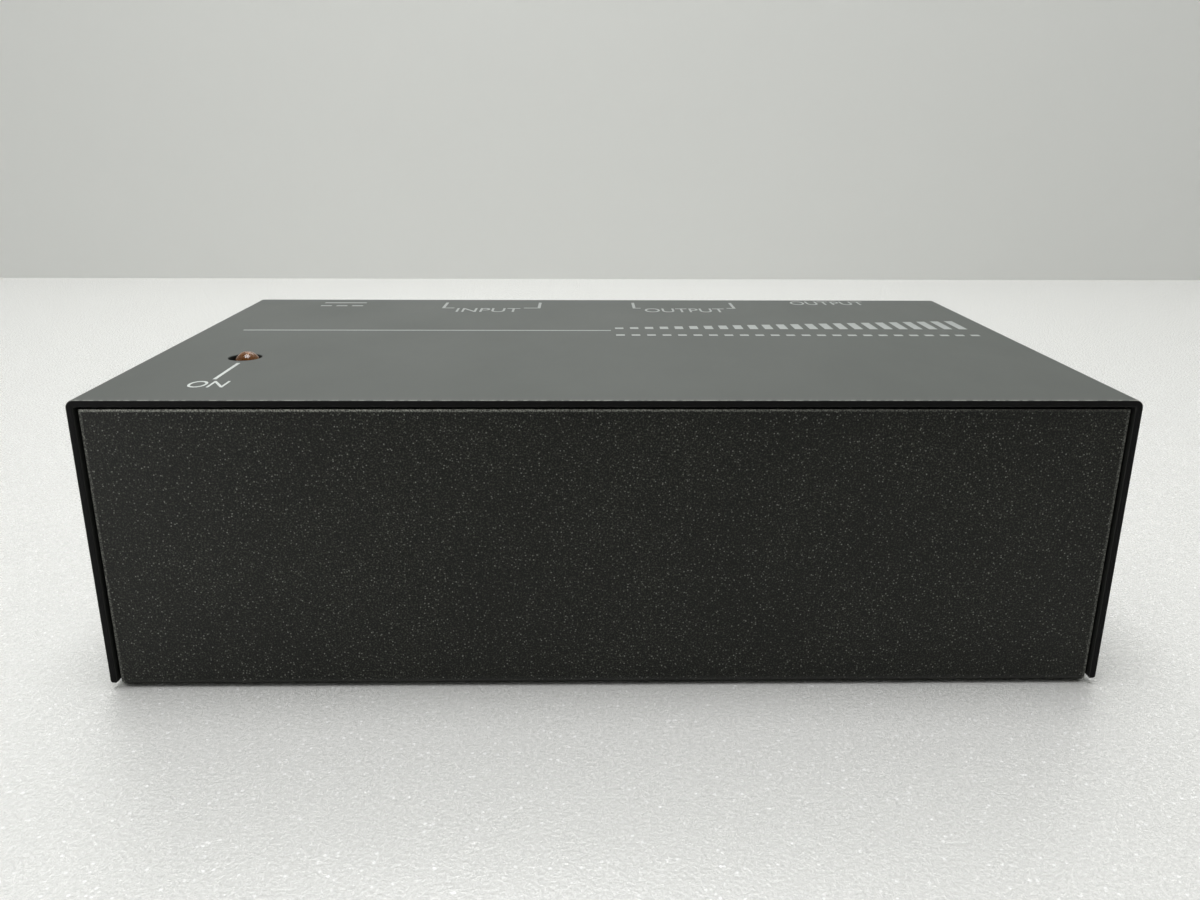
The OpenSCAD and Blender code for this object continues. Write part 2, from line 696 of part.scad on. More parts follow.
module dc_jack_housing() {
    slot_y0 = dc_root_y - slot_root_gap;
    color("#17181a") translate([dc_x, 0, 0]) difference() {
        union() {
            translate([-dc_w / 2, dc_back_y, board_top])
                cube([dc_w, dc_d, dc_z + dc_rise - board_top]);
            translate([0, 0, dc_z]) bar_y(dc_nose_r, dc_back_y + dc_d / 2, panel_out_y);
        }
        translate([0, 0, dc_z]) bar_y(dc_cavity_r, dc_floor_y, panel_out_y + past);
        translate([0, 0, dc_z]) bar_y(dc_stem_r + seat_gap, dc_back_y - past, panel_out_y);
        translate([-slot_w / 2, slot_y0, dc_z + dc_cavity_r / 2])
            cube([slot_w, dc_nose_y + dc_tail_l + dc_slot_gap - slot_y0, 2 * dc_rise]);
    }
}

module dc_centre_pin() {
    tip_y = panel_out_y - dc_pin_recess;
    color("#c9cbcd") translate([dc_x, 0, dc_z]) {
        bar_y(dc_stem_r, dc_back_y - pin_step, dc_floor_y);
        bar_y(dc_pin_r, dc_floor_y, tip_y - dc_pin_r);
        translate([0, tip_y - dc_pin_r, 0]) sphere(r = dc_pin_r);
    }
}

module dc_spring_contact() {
    color("#c9a24a") translate([dc_x, 0, dc_z]) bent_strip([
        [dc_root_y, dc_root_r],
        [dc_nose_y, dc_root_r] + dc_slope,
        [dc_nose_y, dc_nose_contact_r],
        [dc_nose_y + dc_tail_l, dc_cavity_r]
    ], strip_w);
}

module dc_jack_pins() {
    color("#c4c7c9") for (side = [-1, 1])
        flat_pin(dc_x + side * (dc_w / 2 - dc_pin_in), dc_back_y, dc_z - pin_drop);
}

// ---------- phono sockets ----------

module jack_block(centre_x) {
    block_w = phono_pitch + 2 * block_side;
    difference() {
        union() {
            translate([centre_x - block_w / 2, block_back_y, board_top])
                cube([block_w, block_d, socket_axis_h + block_rise]);
            translate([centre_x, 0, block_screw_z]) bar_y(block_boss_r, block_back_y, panel_in_y);
        }
        for (side = [-1, 1])
            translate([centre_x + side * phono_pitch / 2, 0, socket_z])
                bar_y(core_r + seat_gap, block_back_y + block_back_wall, panel_in_y + past);
        translate([centre_x, 0, block_screw_z])
            bar_y(screw_r + thread_gap, block_back_y - past, panel_in_y + past);
    }
}

// an insulator: the coloured collar in the panel's hole, and the core inside shell and block
module insulator(x) {
    translate([x, 0, socket_z]) difference() {
        union() {
            bar_y(core_r, block_back_y + block_back_wall, core_tip_y);
            bar_y(collar_r, panel_in_y, collar_face_y);
        }
        bar_y(contact_out_r + seat_gap, block_back_y, core_tip_y - contact_lip);
        bar_y(contact_r + seat_gap, core_tip_y - contact_lip - past, core_tip_y + past);
    }
}

module shells(pair) {
    for (x = pair)
        translate([x, 0, socket_z]) tube_y(shell_r, shell_r - shell_t, collar_face_y, shell_tip_y);
}

module contacts(pair) {
    back_y = block_back_y + block_back_wall;
    for (x = pair)
        translate([x, 0, socket_z]) difference() {
            bar_y(contact_out_r, back_y, core_tip_y - contact_lip);
            bar_y(contact_r, back_y + contact_floor, core_tip_y);
        }
}

module jack_pins(centre_x, pair) {
    for (x = pair)
        flat_pin(x, block_back_y, socket_z - pin_drop);
    flat_pin(centre_x, block_back_y, socket_z - low_pin_drop);
}

module jack_screw(centre_x) {
    translate([centre_x, panel_out_y, block_screw_z]) pan_screw_y(block_screw_l);
}

module input_jack_block() { color("#17181a") jack_block(input_x); }
module input_shells() { color("#c9cbcd") shells(input_pair); }
module input_insulator_left() { color("#e6e4dc") insulator(input_pair[1]); }
module input_insulator_right() { color("#a3201f") insulator(input_pair[0]); }
module input_contacts() { color("#c9a24a") contacts(input_pair); }
module input_jack_pins() { color("#c4c7c9") jack_pins(input_x, input_pair); }
module input_jack_screw() { color("#1b1b1c") jack_screw(input_x); }
module output_jack_block() { color("#17181a") jack_block(output_x); }
module output_shells() { color("#c9cbcd") shells(output_pair); }
module output_insulator_left() { color("#e6e4dc") insulator(output_pair[1]); }
module output_insulator_right() { color("#a3201f") insulator(output_pair[0]); }
module output_contacts() { color("#c9a24a") contacts(output_pair); }
module output_jack_pins() { color("#c4c7c9") jack_pins(output_x, output_pair); }
module output_jack_screw() { color("#1b1b1c") jack_screw(output_x); }

// ---------- 6.35 mm line socket ----------

module line_jack_body() {
    half_w = line_body_w / 2;
    tip_y0 = line_tip_y + tip_tail[0] - slot_end_gap;
    ring_y0 = line_ring_y + ring_tail[0] - slot_end_gap;
    slot_y1 = line_root_y + slot_root_gap;
    color("#17181a") translate([line_x, 0, 0]) difference() {
        translate([-half_w, line_back_y, board_top])
            cube([line_body_w, line_body_d, socket_z + line_body_rise - board_top]);
        translate([0, 0, socket_z])
            bar_y(line_cavity_r, line_back_y + line_back_wall, panel_in_y - line_front_wall + past);
        translate([0, 0, socket_z])
            bar_y(bushing_r + seat_gap, panel_in_y - line_front_wall, panel_in_y + past);
        // the tip spring's slot opens upwards, the ring spring's to the left
        translate([-slot_w / 2, tip_y0, socket_z])
            cube([slot_w, slot_y1 - tip_y0, 2 * line_body_rise]);
        translate([-2 * half_w, ring_y0, socket_z - slot_w / 2])
            cube([2 * half_w, slot_y1 - ring_y0, slot_w]);
    }
}

module line_jack_bushing() {
    color("#c9cbcd") translate([line_x, 0, socket_z])
        tube_y(bushing_r, bushing_bore_r, panel_in_y - line_front_wall, panel_out_y + bushing_out);
}

module line_jack_washer() {
    color("#b9bcbe") translate([line_x, 0, socket_z])
        tube_y(line_washer_r, bushing_r + thread_gap, panel_out_y, panel_out_y + line_washer_t);
}

module line_jack_nut() {
    y0 = panel_out_y + line_washer_t;
    color("#c9cbcd") translate([line_x, 0, socket_z]) difference() {
        translate([0, y0, 0]) rotate([-90, 0, 0])
            cylinder(r = line_nut_af / sqrt(3), h = line_nut_t, $fn = 6);
        bar_y(bushing_r + thread_gap, y0 - past, y0 + line_nut_t + past);
    }
}

module line_tip_spring() {
    color("#c9a24a") translate([line_x, 0, socket_z]) bent_strip([
        [line_root_y, line_root_r],
        [line_tip_y, line_nose_r] + tip_slope,
        [line_tip_y, line_nose_r],
        [line_tip_y, line_nose_r] + tip_tail
    ], strip_w);
}

module line_ring_spring() {
    color("#c9a24a") translate([line_x, 0, socket_z]) rotate([0, -90, 0]) bent_strip([
        [line_root_y, line_root_r],
        [line_ring_y, line_nose_r] + ring_slope,
        [line_ring_y, line_nose_r],
        [line_ring_y, line_nose_r] + ring_tail
    ], strip_w);
}

module line_jack_pins() {
    color("#c4c7c9") for (side = [-1, 0, 1])
        flat_pin(line_x + side * line_body_w / 3, line_back_y, socket_z - low_pin_drop);
}

// ---------- ground terminal ----------

module ground_screw() {
    color("#b9bcbe")
        translate([ground_x, panel_out_y + ground_washer_t + washer_gap, ground_z])
            pan_screw_y(ground_screw_l);
}

module ground_washer() {
    color("#b9bcbe") translate([ground_x, 0, ground_z]) difference() {
        tube_y(ground_washer_r, screw_r + screw_hole_gap, panel_out_y, panel_out_y + ground_washer_t);
        for (i = [0:tooth_count - 1])
            rotate([0, i * 360 / tooth_count, 0])
                translate([ground_washer_r, panel_out_y + ground_washer_t / 2, 0])
                    cube([2 * tooth_cut_l, 2 * ground_washer_t, tooth_cut_w], center = true);
    }
}

module ground_nut() {
    color("#b9bcbe") translate([ground_x, 0, ground_z])
        tube_y(ground_nut_r, screw_r + thread_gap, panel_in_y - ground_nut_t, panel_in_y);
}

// ---------- electronics ----------

module opamp_chips() {
    color("#1d1e20") for (spot = chip_spots)
        translate([spot[0], spot[1], board_top + chip_lift]) difference() {
            translate([-chip_l / 2, -chip_w / 2, 0]) cube([chip_l, chip_w, chip_h]);
            translate([-chip_l / 2, 0, chip_h - chip_notch_depth])
                cylinder(r = chip_notch_r, h = chip_notch_depth + past);
        }
}

module chip_legs() {
    leg_z = board_top + chip_lift + chip_h / 2;
    reach = leg_rows / 2 - chip_w / 2 + leg_t / 2;
    color("#c4c7c9") for (spot = chip_spots, side = [-1, 1], i = [-1.5:1:1.5])
        translate([spot[0] + i * leg_pitch, spot[1] + side * chip_w / 2, 0])
            mirror([0, side < 0 ? 1 : 0, 0]) {
                translate([-leg_shoulder_w / 2, 0, leg_z]) cube([leg_shoulder_w, reach, leg_t]);
                translate([-leg_shoulder_w / 2, reach - leg_t, leg_z - leg_shoulder_h])
                    cube([leg_shoulder_w, leg_t, leg_shoulder_h + leg_t]);
                translate([-leg_w / 2, reach - leg_t, board_top]) cube([leg_w, leg_t, leg_z - board_top]);
            }
}

module voltage_regulator() {
    color("#1d1e20") translate([reg_spot[0], reg_spot[1], board_top + reg_leg_l])
        translate([-reg_t / 2 + reg_tab_t, -reg_w / 2, 0]) cube([reg_t - reg_tab_t, reg_w, reg_h]);
}

module regulator_frame() {
    tab_z = reg_leg_l + reg_foot;
    tab_h = reg_h + reg_tab_h - reg_foot;
    color("#b9bcbe") translate([reg_spot[0] - reg_t / 2, reg_spot[1], board_top]) {
        difference() {
            translate([0, -reg_w / 2, tab_z]) cube([reg_tab_t, reg_w, tab_h]);
            translate([-past, 0, tab_z + tab_h - reg_tab_h / 2])
                rotate([0, 90, 0]) cylinder(r = reg_hole_r, h = reg_tab_t + 2 * past);
        }
        for (i = [-1:1])
            translate([reg_tab_t + reg_leg_w, i * leg_pitch - reg_leg_w / 2, 0])
                cube([reg_leg_t, reg_leg_w, reg_leg_l]);
    }
}

// a round capacitor on its base, with the rolled groove near its foot
module round_capacitor(r, h) {
    difference() {
        cylinder(r = r, h = h);
        translate([0, 0, groove_z]) rotate_extrude() translate([r, 0]) circle(r = groove_r, $fn = 24);
    }
}

module filter_capacitors() {
    color("#23324f") for (spot = filter_cap_spots)
        translate([spot[0], spot[1], board_top]) round_capacitor(filter_cap_r, filter_cap_h);
}

module output_capacitors() {
    color("#23324f") for (spot = output_cap_spots)
        translate([spot[0], spot[1], board_top]) round_capacitor(output_cap_r, output_cap_h);
}

module coupling_capacitors() {
    color("#23324f") for (spot = coupling_cap_spots)
        translate([spot[0], spot[1], board_top]) round_capacitor(coupling_cap_r, coupling_cap_h);
}

module film_capacitors() {
    color("#8d2b22") {
        for (spot = film_cap_flat_spots)
            translate([spot[0] - film_cap_l / 2, spot[1] - film_cap_t / 2, board_top])
                cube([film_cap_l, film_cap_t, film_cap_h]);
        for (spot = film_cap_upright_spots)
            translate([spot[0] - film_cap_t / 2, spot[1] - film_cap_l / 2, board_top])
                cube([film_cap_t, film_cap_l, film_cap_h]);
    }
}

module ceramic_capacitors() {
    color("#c07a35") for (spot = disc_spots)
        translate([spot[0], 0, board_top + disc_lift + disc_r])
            bar_y(disc_r, spot[1] - disc_t / 2, spot[1] + disc_t / 2);
}

module ceramic_capacitor_leads() {
    lead_x = disc_r / 2;
    disc_edge = disc_r - sqrt(disc_r * disc_r - pow(lead_x + lead_r, 2));
    color("#c4c7c9") for (spot = disc_spots, side = [-1, 1])
        translate([spot[0] + side * lead_x, spot[1], board_top]) difference() {
            cylinder(r = lead_r, h = disc_lift + disc_edge);
            translate([-side * lead_x, 0, disc_lift + disc_r])
                bar_y(disc_r, -disc_t, disc_t);
        }
}

module resistors() {
    bell_l = resistor_l / 4;
    color("#3f8fa6") for (spot = resistor_spots)
        translate([spot[0] - resistor_l / 2, spot[1], board_top + resistor_r + axial_lift])
            rotate([0, 90, 0]) {
                cylinder(r = resistor_r * resistor_waist, h = resistor_l);
                cylinder(r = resistor_r, h = bell_l);
                translate([0, 0, resistor_l - bell_l]) cylinder(r = resistor_r, h = bell_l);
            }
}

module ferrite_beads() {
    color("#3a3b3d") for (spot = bead_spots)
        translate([spot[0] - bead_l / 2, spot[1], board_top + bead_r + axial_lift])
            rotate([0, 90, 0]) difference() {
                cylinder(r = bead_r, h = bead_l);
                translate([0, 0, -past]) cylinder(r = lead_r + lead_gap, h = bead_l + 2 * past);
            }
}

module diodes() {
    color("#1d1e20") for (spot = diode_spots)
        translate([spot[0] - diode_l / 2, spot[1], board_top + diode_r + axial_lift])
            rotate([0, 90, 0]) cylinder(r = diode_r, h = diode_l);
}

// a wire from the body's end out to its hole in the board
module axial_lead(spot, side, body_l, z) {
    reach = axial_span / 2;
    translate([spot[0], spot[1], z])
        mirror([side < 0 ? 1 : 0, 0, 0]) {
            translate([body_l / 2, 0, 0]) rotate([0, 90, 0])
                cylinder(r = lead_r, h = reach - body_l / 2);
            translate([reach, 0, 0]) sphere(r = lead_r);
            translate([reach, 0, board_top - z]) cylinder(r = lead_r, h = z - board_top);
        }
}

module axial_leads() {
    color("#c4c7c9") {
        for (spot = resistor_spots, side = [-1, 1])
            axial_lead(spot, side, resistor_l, board_top + resistor_r + axial_lift);
        for (spot = bead_spots, side = [-1, 1])
            axial_lead(spot, side, 0, board_top + bead_r + axial_lift);
        for (spot = diode_spots, side = [-1, 1])
            axial_lead(spot, side, diode_l, board_top + diode_r + axial_lift);
    }
}

top_cover();
base_chassis();
cover_screws();
board_standoffs();
board_screws();
circuit_board();
solder_joints();
led_lens();
led_leads();
led_spacer();
dc_jack_housing();
dc_centre_pin();
dc_spring_contact();
dc_jack_pins();
input_jack_block();
input_shells();
input_insulator_left();
input_insulator_right();
input_contacts();
input_jack_pins();
input_jack_screw();
output_jack_block();
output_shells();
output_insulator_left();
output_insulator_right();
output_contacts();
output_jack_pins();
output_jack_screw();
line_jack_body();
line_jack_bushing();
line_jack_washer();
line_jack_nut();
line_tip_spring();
line_ring_spring();
line_jack_pins();
ground_screw();
ground_washer();
ground_nut();
opamp_chips();
chip_legs();
voltage_regulator();
regulator_frame();
filter_capacitors();
output_capacitors();
coupling_capacitors();
film_capacitors();
ceramic_capacitors();
ceramic_capacitor_leads();
resistors();
axial_leads();
diodes();
ferrite_beads();
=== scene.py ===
import bpy
import bmesh
import json
import math
from mathutils import Euler, Matrix, Vector


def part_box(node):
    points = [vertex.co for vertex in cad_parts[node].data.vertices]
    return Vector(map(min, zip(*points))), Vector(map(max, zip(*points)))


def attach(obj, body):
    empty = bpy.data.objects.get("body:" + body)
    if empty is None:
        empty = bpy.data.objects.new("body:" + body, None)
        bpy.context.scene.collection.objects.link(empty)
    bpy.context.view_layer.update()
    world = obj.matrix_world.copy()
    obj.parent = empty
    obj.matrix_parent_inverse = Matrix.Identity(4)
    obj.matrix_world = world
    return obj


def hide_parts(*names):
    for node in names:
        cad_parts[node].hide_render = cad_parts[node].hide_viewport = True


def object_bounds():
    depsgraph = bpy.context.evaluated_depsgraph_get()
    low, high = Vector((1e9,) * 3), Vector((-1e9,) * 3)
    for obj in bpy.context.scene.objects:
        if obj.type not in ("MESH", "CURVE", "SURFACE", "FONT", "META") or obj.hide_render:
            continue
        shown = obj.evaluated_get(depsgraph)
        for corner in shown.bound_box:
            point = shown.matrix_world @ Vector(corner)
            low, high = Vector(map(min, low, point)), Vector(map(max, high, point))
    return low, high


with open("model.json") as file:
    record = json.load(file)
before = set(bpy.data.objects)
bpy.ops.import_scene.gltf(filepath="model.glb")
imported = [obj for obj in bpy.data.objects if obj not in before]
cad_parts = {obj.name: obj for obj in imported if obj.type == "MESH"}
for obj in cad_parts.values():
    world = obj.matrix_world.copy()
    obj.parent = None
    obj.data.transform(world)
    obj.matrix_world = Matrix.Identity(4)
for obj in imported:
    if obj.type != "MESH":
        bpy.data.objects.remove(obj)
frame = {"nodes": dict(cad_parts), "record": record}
cadLow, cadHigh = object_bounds()
mm = 0.001
tiny = 0.01 * mm
nearAxis = 0.1 * mm      # where the profile of a solid turned piece starts and ends
alongX = (0, math.pi / 2, 0)      # the turns that lay a piece made along +Z along +X or +Y
alongY = (-math.pi / 2, 0, 0)
noiseReach = (0.3, 0.7)      # most of a noise lies between these
smoothAngle = math.radians(35)      # a sharper edge than this keeps its crease
arcSteps = 4      # steps in the arc of a softened corner
materials = {}
print("frame loaded:", len(frame["nodes"]), "nodes")


def deselectAll():
    if bpy.context.object and bpy.context.object.mode != "OBJECT":
        objectMode()
    bpy.ops.object.select_all(action="DESELECT")


def activate(piece):
    deselectAll()
    piece.select_set(True)
    bpy.context.view_layer.objects.active = piece


def applyPlace(piece):
    activate(piece)
    bpy.ops.object.transform_apply(location=True, rotation=True, scale=True)


def standAt(piece, place=(0, 0, 0), turn=(0, 0, 0)):
    piece.location, piece.rotation_euler = place, turn
    applyPlace(piece)
    return piece


def objectMode():
    bpy.ops.object.mode_set(mode="OBJECT")


def editMode(piece):
    activate(piece)
    bpy.ops.object.mode_set(mode="EDIT")
    bpy.ops.mesh.select_mode(type="VERT")
    bpy.ops.mesh.select_all(action="DESELECT")


def selectAll():
    bpy.ops.mesh.select_all(action="SELECT")


def selectWhere(piece, kind, rule):
    bpy.ops.mesh.select_all(action="DESELECT")
    bpy.ops.mesh.select_mode(type=kind)
    mesh = bmesh.from_edit_mesh(piece.data)
    mesh.normal_update()
    for part in mesh.edges if kind == "EDGE" else mesh.faces:
        part.select_set(rule(part))
    bmesh.update_edit_mesh(piece.data)


def selectEdges(piece, rule):
    # rule is asked of both ends of each edge
    selectWhere(piece, "EDGE", lambda edge: all(rule(end.co) for end in edge.verts))


def selectFaces(piece, rule):
    # rule is asked of the middle and the normal of each face
    selectWhere(piece, "FACE", lambda face: rule(face.calc_center_median(), face.normal))


def slide(x=0.0, z=0.0):
    bpy.ops.transform.translate(value=(x, 0, z))


def extrudeUp(height):
    bpy.ops.mesh.extrude_region_move(TRANSFORM_OT_translate={"value": (0, 0, height)})


def bevelSelected(width, segments):
    bpy.ops.mesh.bevel(offset=width, segments=segments, affect="EDGES")


def bisectAll(place, normal):
    selectAll()
    bpy.ops.mesh.bisect(plane_co=place, plane_no=normal)


def applyModifier(piece, kind, **settings):
    activate(piece)
    modifier = piece.modifiers.new(kind.title(), kind)
    for key, value in settings.items():
        setattr(modifier, key, value)
    bpy.ops.object.modifier_apply(modifier=modifier.name)


def combine(piece, tool, operation="DIFFERENCE"):
    applyModifier(piece, "BOOLEAN", object=tool, operation=operation, solver="EXACT")
    bpy.data.objects.remove(tool)


def smooth(piece):
    activate(piece)
    bpy.ops.object.shade_smooth_by_angle(angle=smoothAngle, keep_sharp_edges=False)
    applyModifier(piece, "WEIGHTED_NORMAL", mode="FACE_AREA", weight=50, keep_sharp=True)


def roundEdges(piece, width, segments=3, sharperThan=40):
    applyModifier(piece, "BEVEL", width=width, segments=segments, limit_method="ANGLE",
                  angle_limit=math.radians(sharperThan), use_clamp_overlap=True)
    smooth(piece)


def mergeDoubles(distance=0.001 * mm):
    selectAll()
    bpy.ops.mesh.remove_doubles(threshold=distance)
    bpy.ops.mesh.normals_make_consistent(inside=False)


def block(low, high):
    deselectAll()
    bpy.ops.mesh.primitive_cube_add(size=1, location=(Vector(low) + Vector(high)) / 2)
    piece = bpy.context.object
    piece.scale = Vector(high) - Vector(low)
    applyPlace(piece)
    return piece


def rod(radius, start, length, turn=(0, 0, 0), sides=64):
    # a round bar from a point along its own +Z, which turn points elsewhere
    deselectAll()
    bpy.ops.mesh.primitive_cylinder_add(vertices=sides, radius=radius, depth=length)
    half = Euler(turn).to_matrix() @ Vector((0, 0, length / 2))
    return standAt(bpy.context.object, Vector(start) + half, turn)


def softenCorners(corners, radius, closed):
    # a profile of (radius, height) points with an arc at each corner; a third value is a corner's own radius
    points = [Vector(corner[:2]) for corner in corners]
    sizes = [corner[2] if len(corner) > 2 else radius for corner in corners]
    out = []
    for i, here in enumerate(points):
        back = points[i - 1] - here
        ahead = points[(i + 1) % len(points)] - here
        reach = min(sizes[i], 0.45 * back.length, 0.45 * ahead.length)
        if reach < tiny / 10 or not closed and i in (0, len(points) - 1):
            out.append(here)
            continue
        start, end = here + back.normalized() * reach, here + ahead.normalized() * reach
        for t in (step / arcSteps for step in range(arcSteps + 1)):
            out.append(start * (1 - t) ** 2 + here * 2 * t * (1 - t) + end * t ** 2)
    return out


def turned(corners, radius=0.1 * mm, sides=64, closed=True, place=(0, 0, 0), turn=(0, 0, 0)):
    # a lathe: a circle is extruded from ring to ring along the profile
    profile = softenCorners(corners, radius, closed)
    if closed:
        profile.append(profile[0])
    deselectAll()
    bpy.ops.mesh.primitive_circle_add(vertices=sides, radius=profile[0].x, location=(0, 0, profile[0].y))
    piece = bpy.context.object
    applyPlace(piece)
    editMode(piece)
    selectAll()
    if not closed:
        bpy.ops.mesh.edge_face_add()
    for here, there in zip(profile, profile[1:]):
        extrudeUp(there.y - here.y)
        share = there.x / here.x
        bpy.ops.transform.resize(value=(share, share, 1), center_override=(0, 0, there.y))
    mergeDoubles()
    objectMode()
    standAt(piece, place, turn)
    smooth(piece)
    return piece


def tube(inner, outer, low, high):
    # the profile of a plain ring, or of a disc where inner is nearAxis
    return [(inner, low), (outer, low), (outer, high), (inner, high)]


def domePoints(radius, foot, steps):
    # a round end's corners on a profile, which the next corner closes at the axis
    angles = [math.radians(90 * step / steps) for step in range(steps)]
    return [(radius * math.cos(angle), foot + radius * math.sin(angle), 0) for angle in angles]


def duplicate(piece, place=(0, 0, 0), turn=(0, 0, 0)):
    activate(piece)
    bpy.ops.object.duplicate(linked=False)
    return standAt(bpy.context.object, place, turn)


def joinAll(pieces):
    deselectAll()
    for piece in pieces:
        piece.select_set(True)
    bpy.context.view_layer.objects.active = pieces[0]
    bpy.ops.object.join()
    return pieces[0]


def scatter(pattern, places, turns=None):
    # one piece of a pattern's copies
    copies = [duplicate(pattern, place, turn) for place, turn in zip(places, turns or [(0, 0, 0)] * len(places))]
    bpy.data.objects.remove(pattern)
    return joinAll(copies)


def finishPiece(piece, name, slotName, body="case", node=None):
    piece.name = name
    piece.data.name = name
    piece.data.materials.clear()
    piece.data.materials.append(materials[slotName])
    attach(piece, body)
    if node:
        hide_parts(node)


def dress(piece, node, slotName, body="case"):
    # the piece stands for a CAD node
    finishPiece(piece, node + "_dressed", slotName, body, node)


def middle(node):
    low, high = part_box(node)
    return (low + high) / 2


def boardTop():
    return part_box("circuit_board")[1].z


def solidsOf(node):
    # the box of each separate solid in a CAD node, from left to right
    part = frame["nodes"][node]
    mesh = bmesh.new()
    mesh.from_mesh(part.data)
    mesh.transform(part.matrix_world)
    bmesh.ops.remove_doubles(mesh, verts=mesh.verts, dist=tiny / 10)
    waiting, boxes = set(mesh.verts), []
    while waiting:
        reached = [waiting.pop()]
        for vert in reached:
            fresh = {edge.other_vert(vert) for edge in vert.link_edges} & waiting
            waiting -= fresh
            reached += fresh
        boxes.append([Vector([pick(vert.co[i] for vert in reached) for i in range(3)]) for pick in (min, max)])
    mesh.free()
    return sorted(boxes, key=lambda box: tuple(box[0]))


def halfSize(box):
    low, high = box
    return (high - low) / 2


def over(box, z=0.0):
    # the middle of a box as seen from above, at a given height
    low, high = box
    return ((low.x + high.x) / 2, (low.y + high.y) / 2, z)


def rearward(node):
    # sets a turned piece on a node's axis, with the heights of its profile measured along +Y
    return {"place": (middle(node).x, 0, middle(node).z), "turn": alongY}


def screwRows():
    # where the cover's screws stand along Y
    low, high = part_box("cover_screws")
    return low.y + screwShape["headRadius"], high.y - screwShape["headRadius"]


def paintFaces(piece, colour, rule):
    # the colour attribute "mark" tells the material where another colour lies; its alpha is how much of it
    marks = piece.data.color_attributes.get("mark")
    if not marks:
        marks = piece.data.color_attributes.new("mark", "FLOAT_COLOR", "CORNER")
        for corner in marks.data:
            corner.color = (0, 0, 0, 0)
    for face in piece.data.polygons:
        if rule(face.center, face.normal):
            for corner in face.loop_indices:
                marks.data[corner].color = (*colour, 1)


def setInputs(node, values):
    for name, value in values.items():
        node.inputs[name].default_value = value


def startMaterial(name, colour, roughness, metallic=0.0, specular=0.5, coat=0.0):
    material = bpy.data.materials.new(name)
    material.use_nodes = True
    shader = material.node_tree.nodes["Principled BSDF"]
    setInputs(shader, {"Base Color": (*colour, 1), "Roughness": roughness, "Metallic": metallic,
                       "Specular IOR Level": specular, "Coat Weight": coat})
    materials[name] = material
    return material.node_tree, shader


def addPattern(tree, kind, scale, stretch=(1, 1, 1)):
    # a texture node on the piece's own coordinates; scale is how many features fit in a metre
    coords, mapping, pattern = (tree.nodes.new("ShaderNode" + name) for name in ("TexCoord", "Mapping", kind))
    setInputs(mapping, {"Scale": stretch})
    setInputs(pattern, {"Scale": scale})
    tree.links.new(coords.outputs["Object"], mapping.inputs["Vector"])
    tree.links.new(mapping.outputs["Vector"], pattern.inputs["Vector"])
    return pattern


def addNoise(tree, scale, detail=3.0, stretch=(1, 1, 1)):
    noise = addPattern(tree, "TexNoise", scale, stretch)
    setInputs(noise, {"Detail": detail})
    return noise.outputs["Fac"]


def addCells(tree, size):
    # the distance from the middle of each cell, and a colour that each cell has to itself
    cells = addPattern(tree, "TexVoronoi", 1 / size)
    return cells.outputs["Distance"], cells.outputs["Color"]


def addPlace(tree, axis, space="Object"):
    coords = tree.nodes.new("ShaderNodeTexCoord")
    split = tree.nodes.new("ShaderNodeSeparateXYZ")
    tree.links.new(coords.outputs[space], split.inputs["Vector"])
    return split.outputs[axis]


def addRange(tree, value, to, reach=(0.0, 1.0)):
    # what lies between the two values of reach is spread between the two of to
    node = tree.nodes.new("ShaderNodeMapRange")
    setInputs(node, {"From Min": reach[0], "From Max": reach[1], "To Min": to[0], "To Max": to[1]})
    tree.links.new(value, node.inputs["Value"])
    return node.outputs["Result"]


def addStep(tree, value, edge, to=(0.0, 1.0)):
    return addRange(tree, value, to, (edge, edge + tiny))


def addMath(tree, operation, a, b=0):
    node = tree.nodes.new("ShaderNodeMath")
    node.operation = operation
    for value, socket in zip((a, b), node.inputs):
        if isinstance(value, (int, float)):
            socket.default_value = value
        else:
            tree.links.new(value, socket)
    return node.outputs["Value"]


def multiply(tree, a, b):
    return addMath(tree, "MULTIPLY", a, b)


def addDistance(tree, axis):
    # how far from the middle plane across an axis
    return addMath(tree, "ABSOLUTE", addPlace(tree, axis))


def addMix(tree, factor, a, b):
    # a and b are colours or sockets
    node = tree.nodes.new("ShaderNodeMix")
    node.data_type = "RGBA"
    for value, socket in ((factor, node.inputs[0]), (a, node.inputs[6]), (b, node.inputs[7])):
        if isinstance(value, bpy.types.NodeSocket):
            tree.links.new(value, socket)
        else:
            socket.default_value = (*value, 1)
    return node.outputs[2]


def addBump(tree, shader, height, distance):
    node = tree.nodes.new("ShaderNodeBump")
    setInputs(node, {"Distance": distance, "Strength": 1.0})
    tree.links.new(height, node.inputs["Height"])
    if shader.inputs["Normal"].links:
        tree.links.new(shader.inputs["Normal"].links[0].from_socket, node.inputs["Normal"])
    tree.links.new(node.outputs["Normal"], shader.inputs["Normal"])


def addFinish(tree, shader, colour, roughness):
    tree.links.new(colour, shader.inputs["Base Color"])
    tree.links.new(roughness, shader.inputs["Roughness"])


coverPaintLook = {
    "colour": (0.075, 0.083, 0.075), "secondColour": (0.067, 0.073, 0.067), "driftScale": 18,
    "roughness": (0.60, 0.68), "specular": 0.42, "smudgeScale": 60, "smudgeStretch": (1, 0.6, 1),
    "peelSize": 1.6 * mm, "peelDepth": 0.0012 * mm, "grainSize": 0.12 * mm, "grainDepth": 0.0010 * mm,
    "dustSize": 0.5 * mm, "dustReach": (0.03, 0.06), "dustColour": (0.5, 0.5, 0.48), "dustShare": 0.10,
    "rimGlintColour": (0.30, 0.30, 0.27), "rimGlintStart": 29.85 * mm, "glintBreakSize": 0.6 * mm, "glintBreakShare": (0.15, 0.9),
    "glintBreakReach": (0.42, 0.6), "cutShadeColour": (0.006, 0.006, 0.006), "cutShadeStart": 29.95 * mm, "cutShadeSpecular": 0.12,
    "insideShadeColour": (0.012, 0.013, 0.011), "insideX": 51.35 * mm, "insideZ": 31.30 * mm}


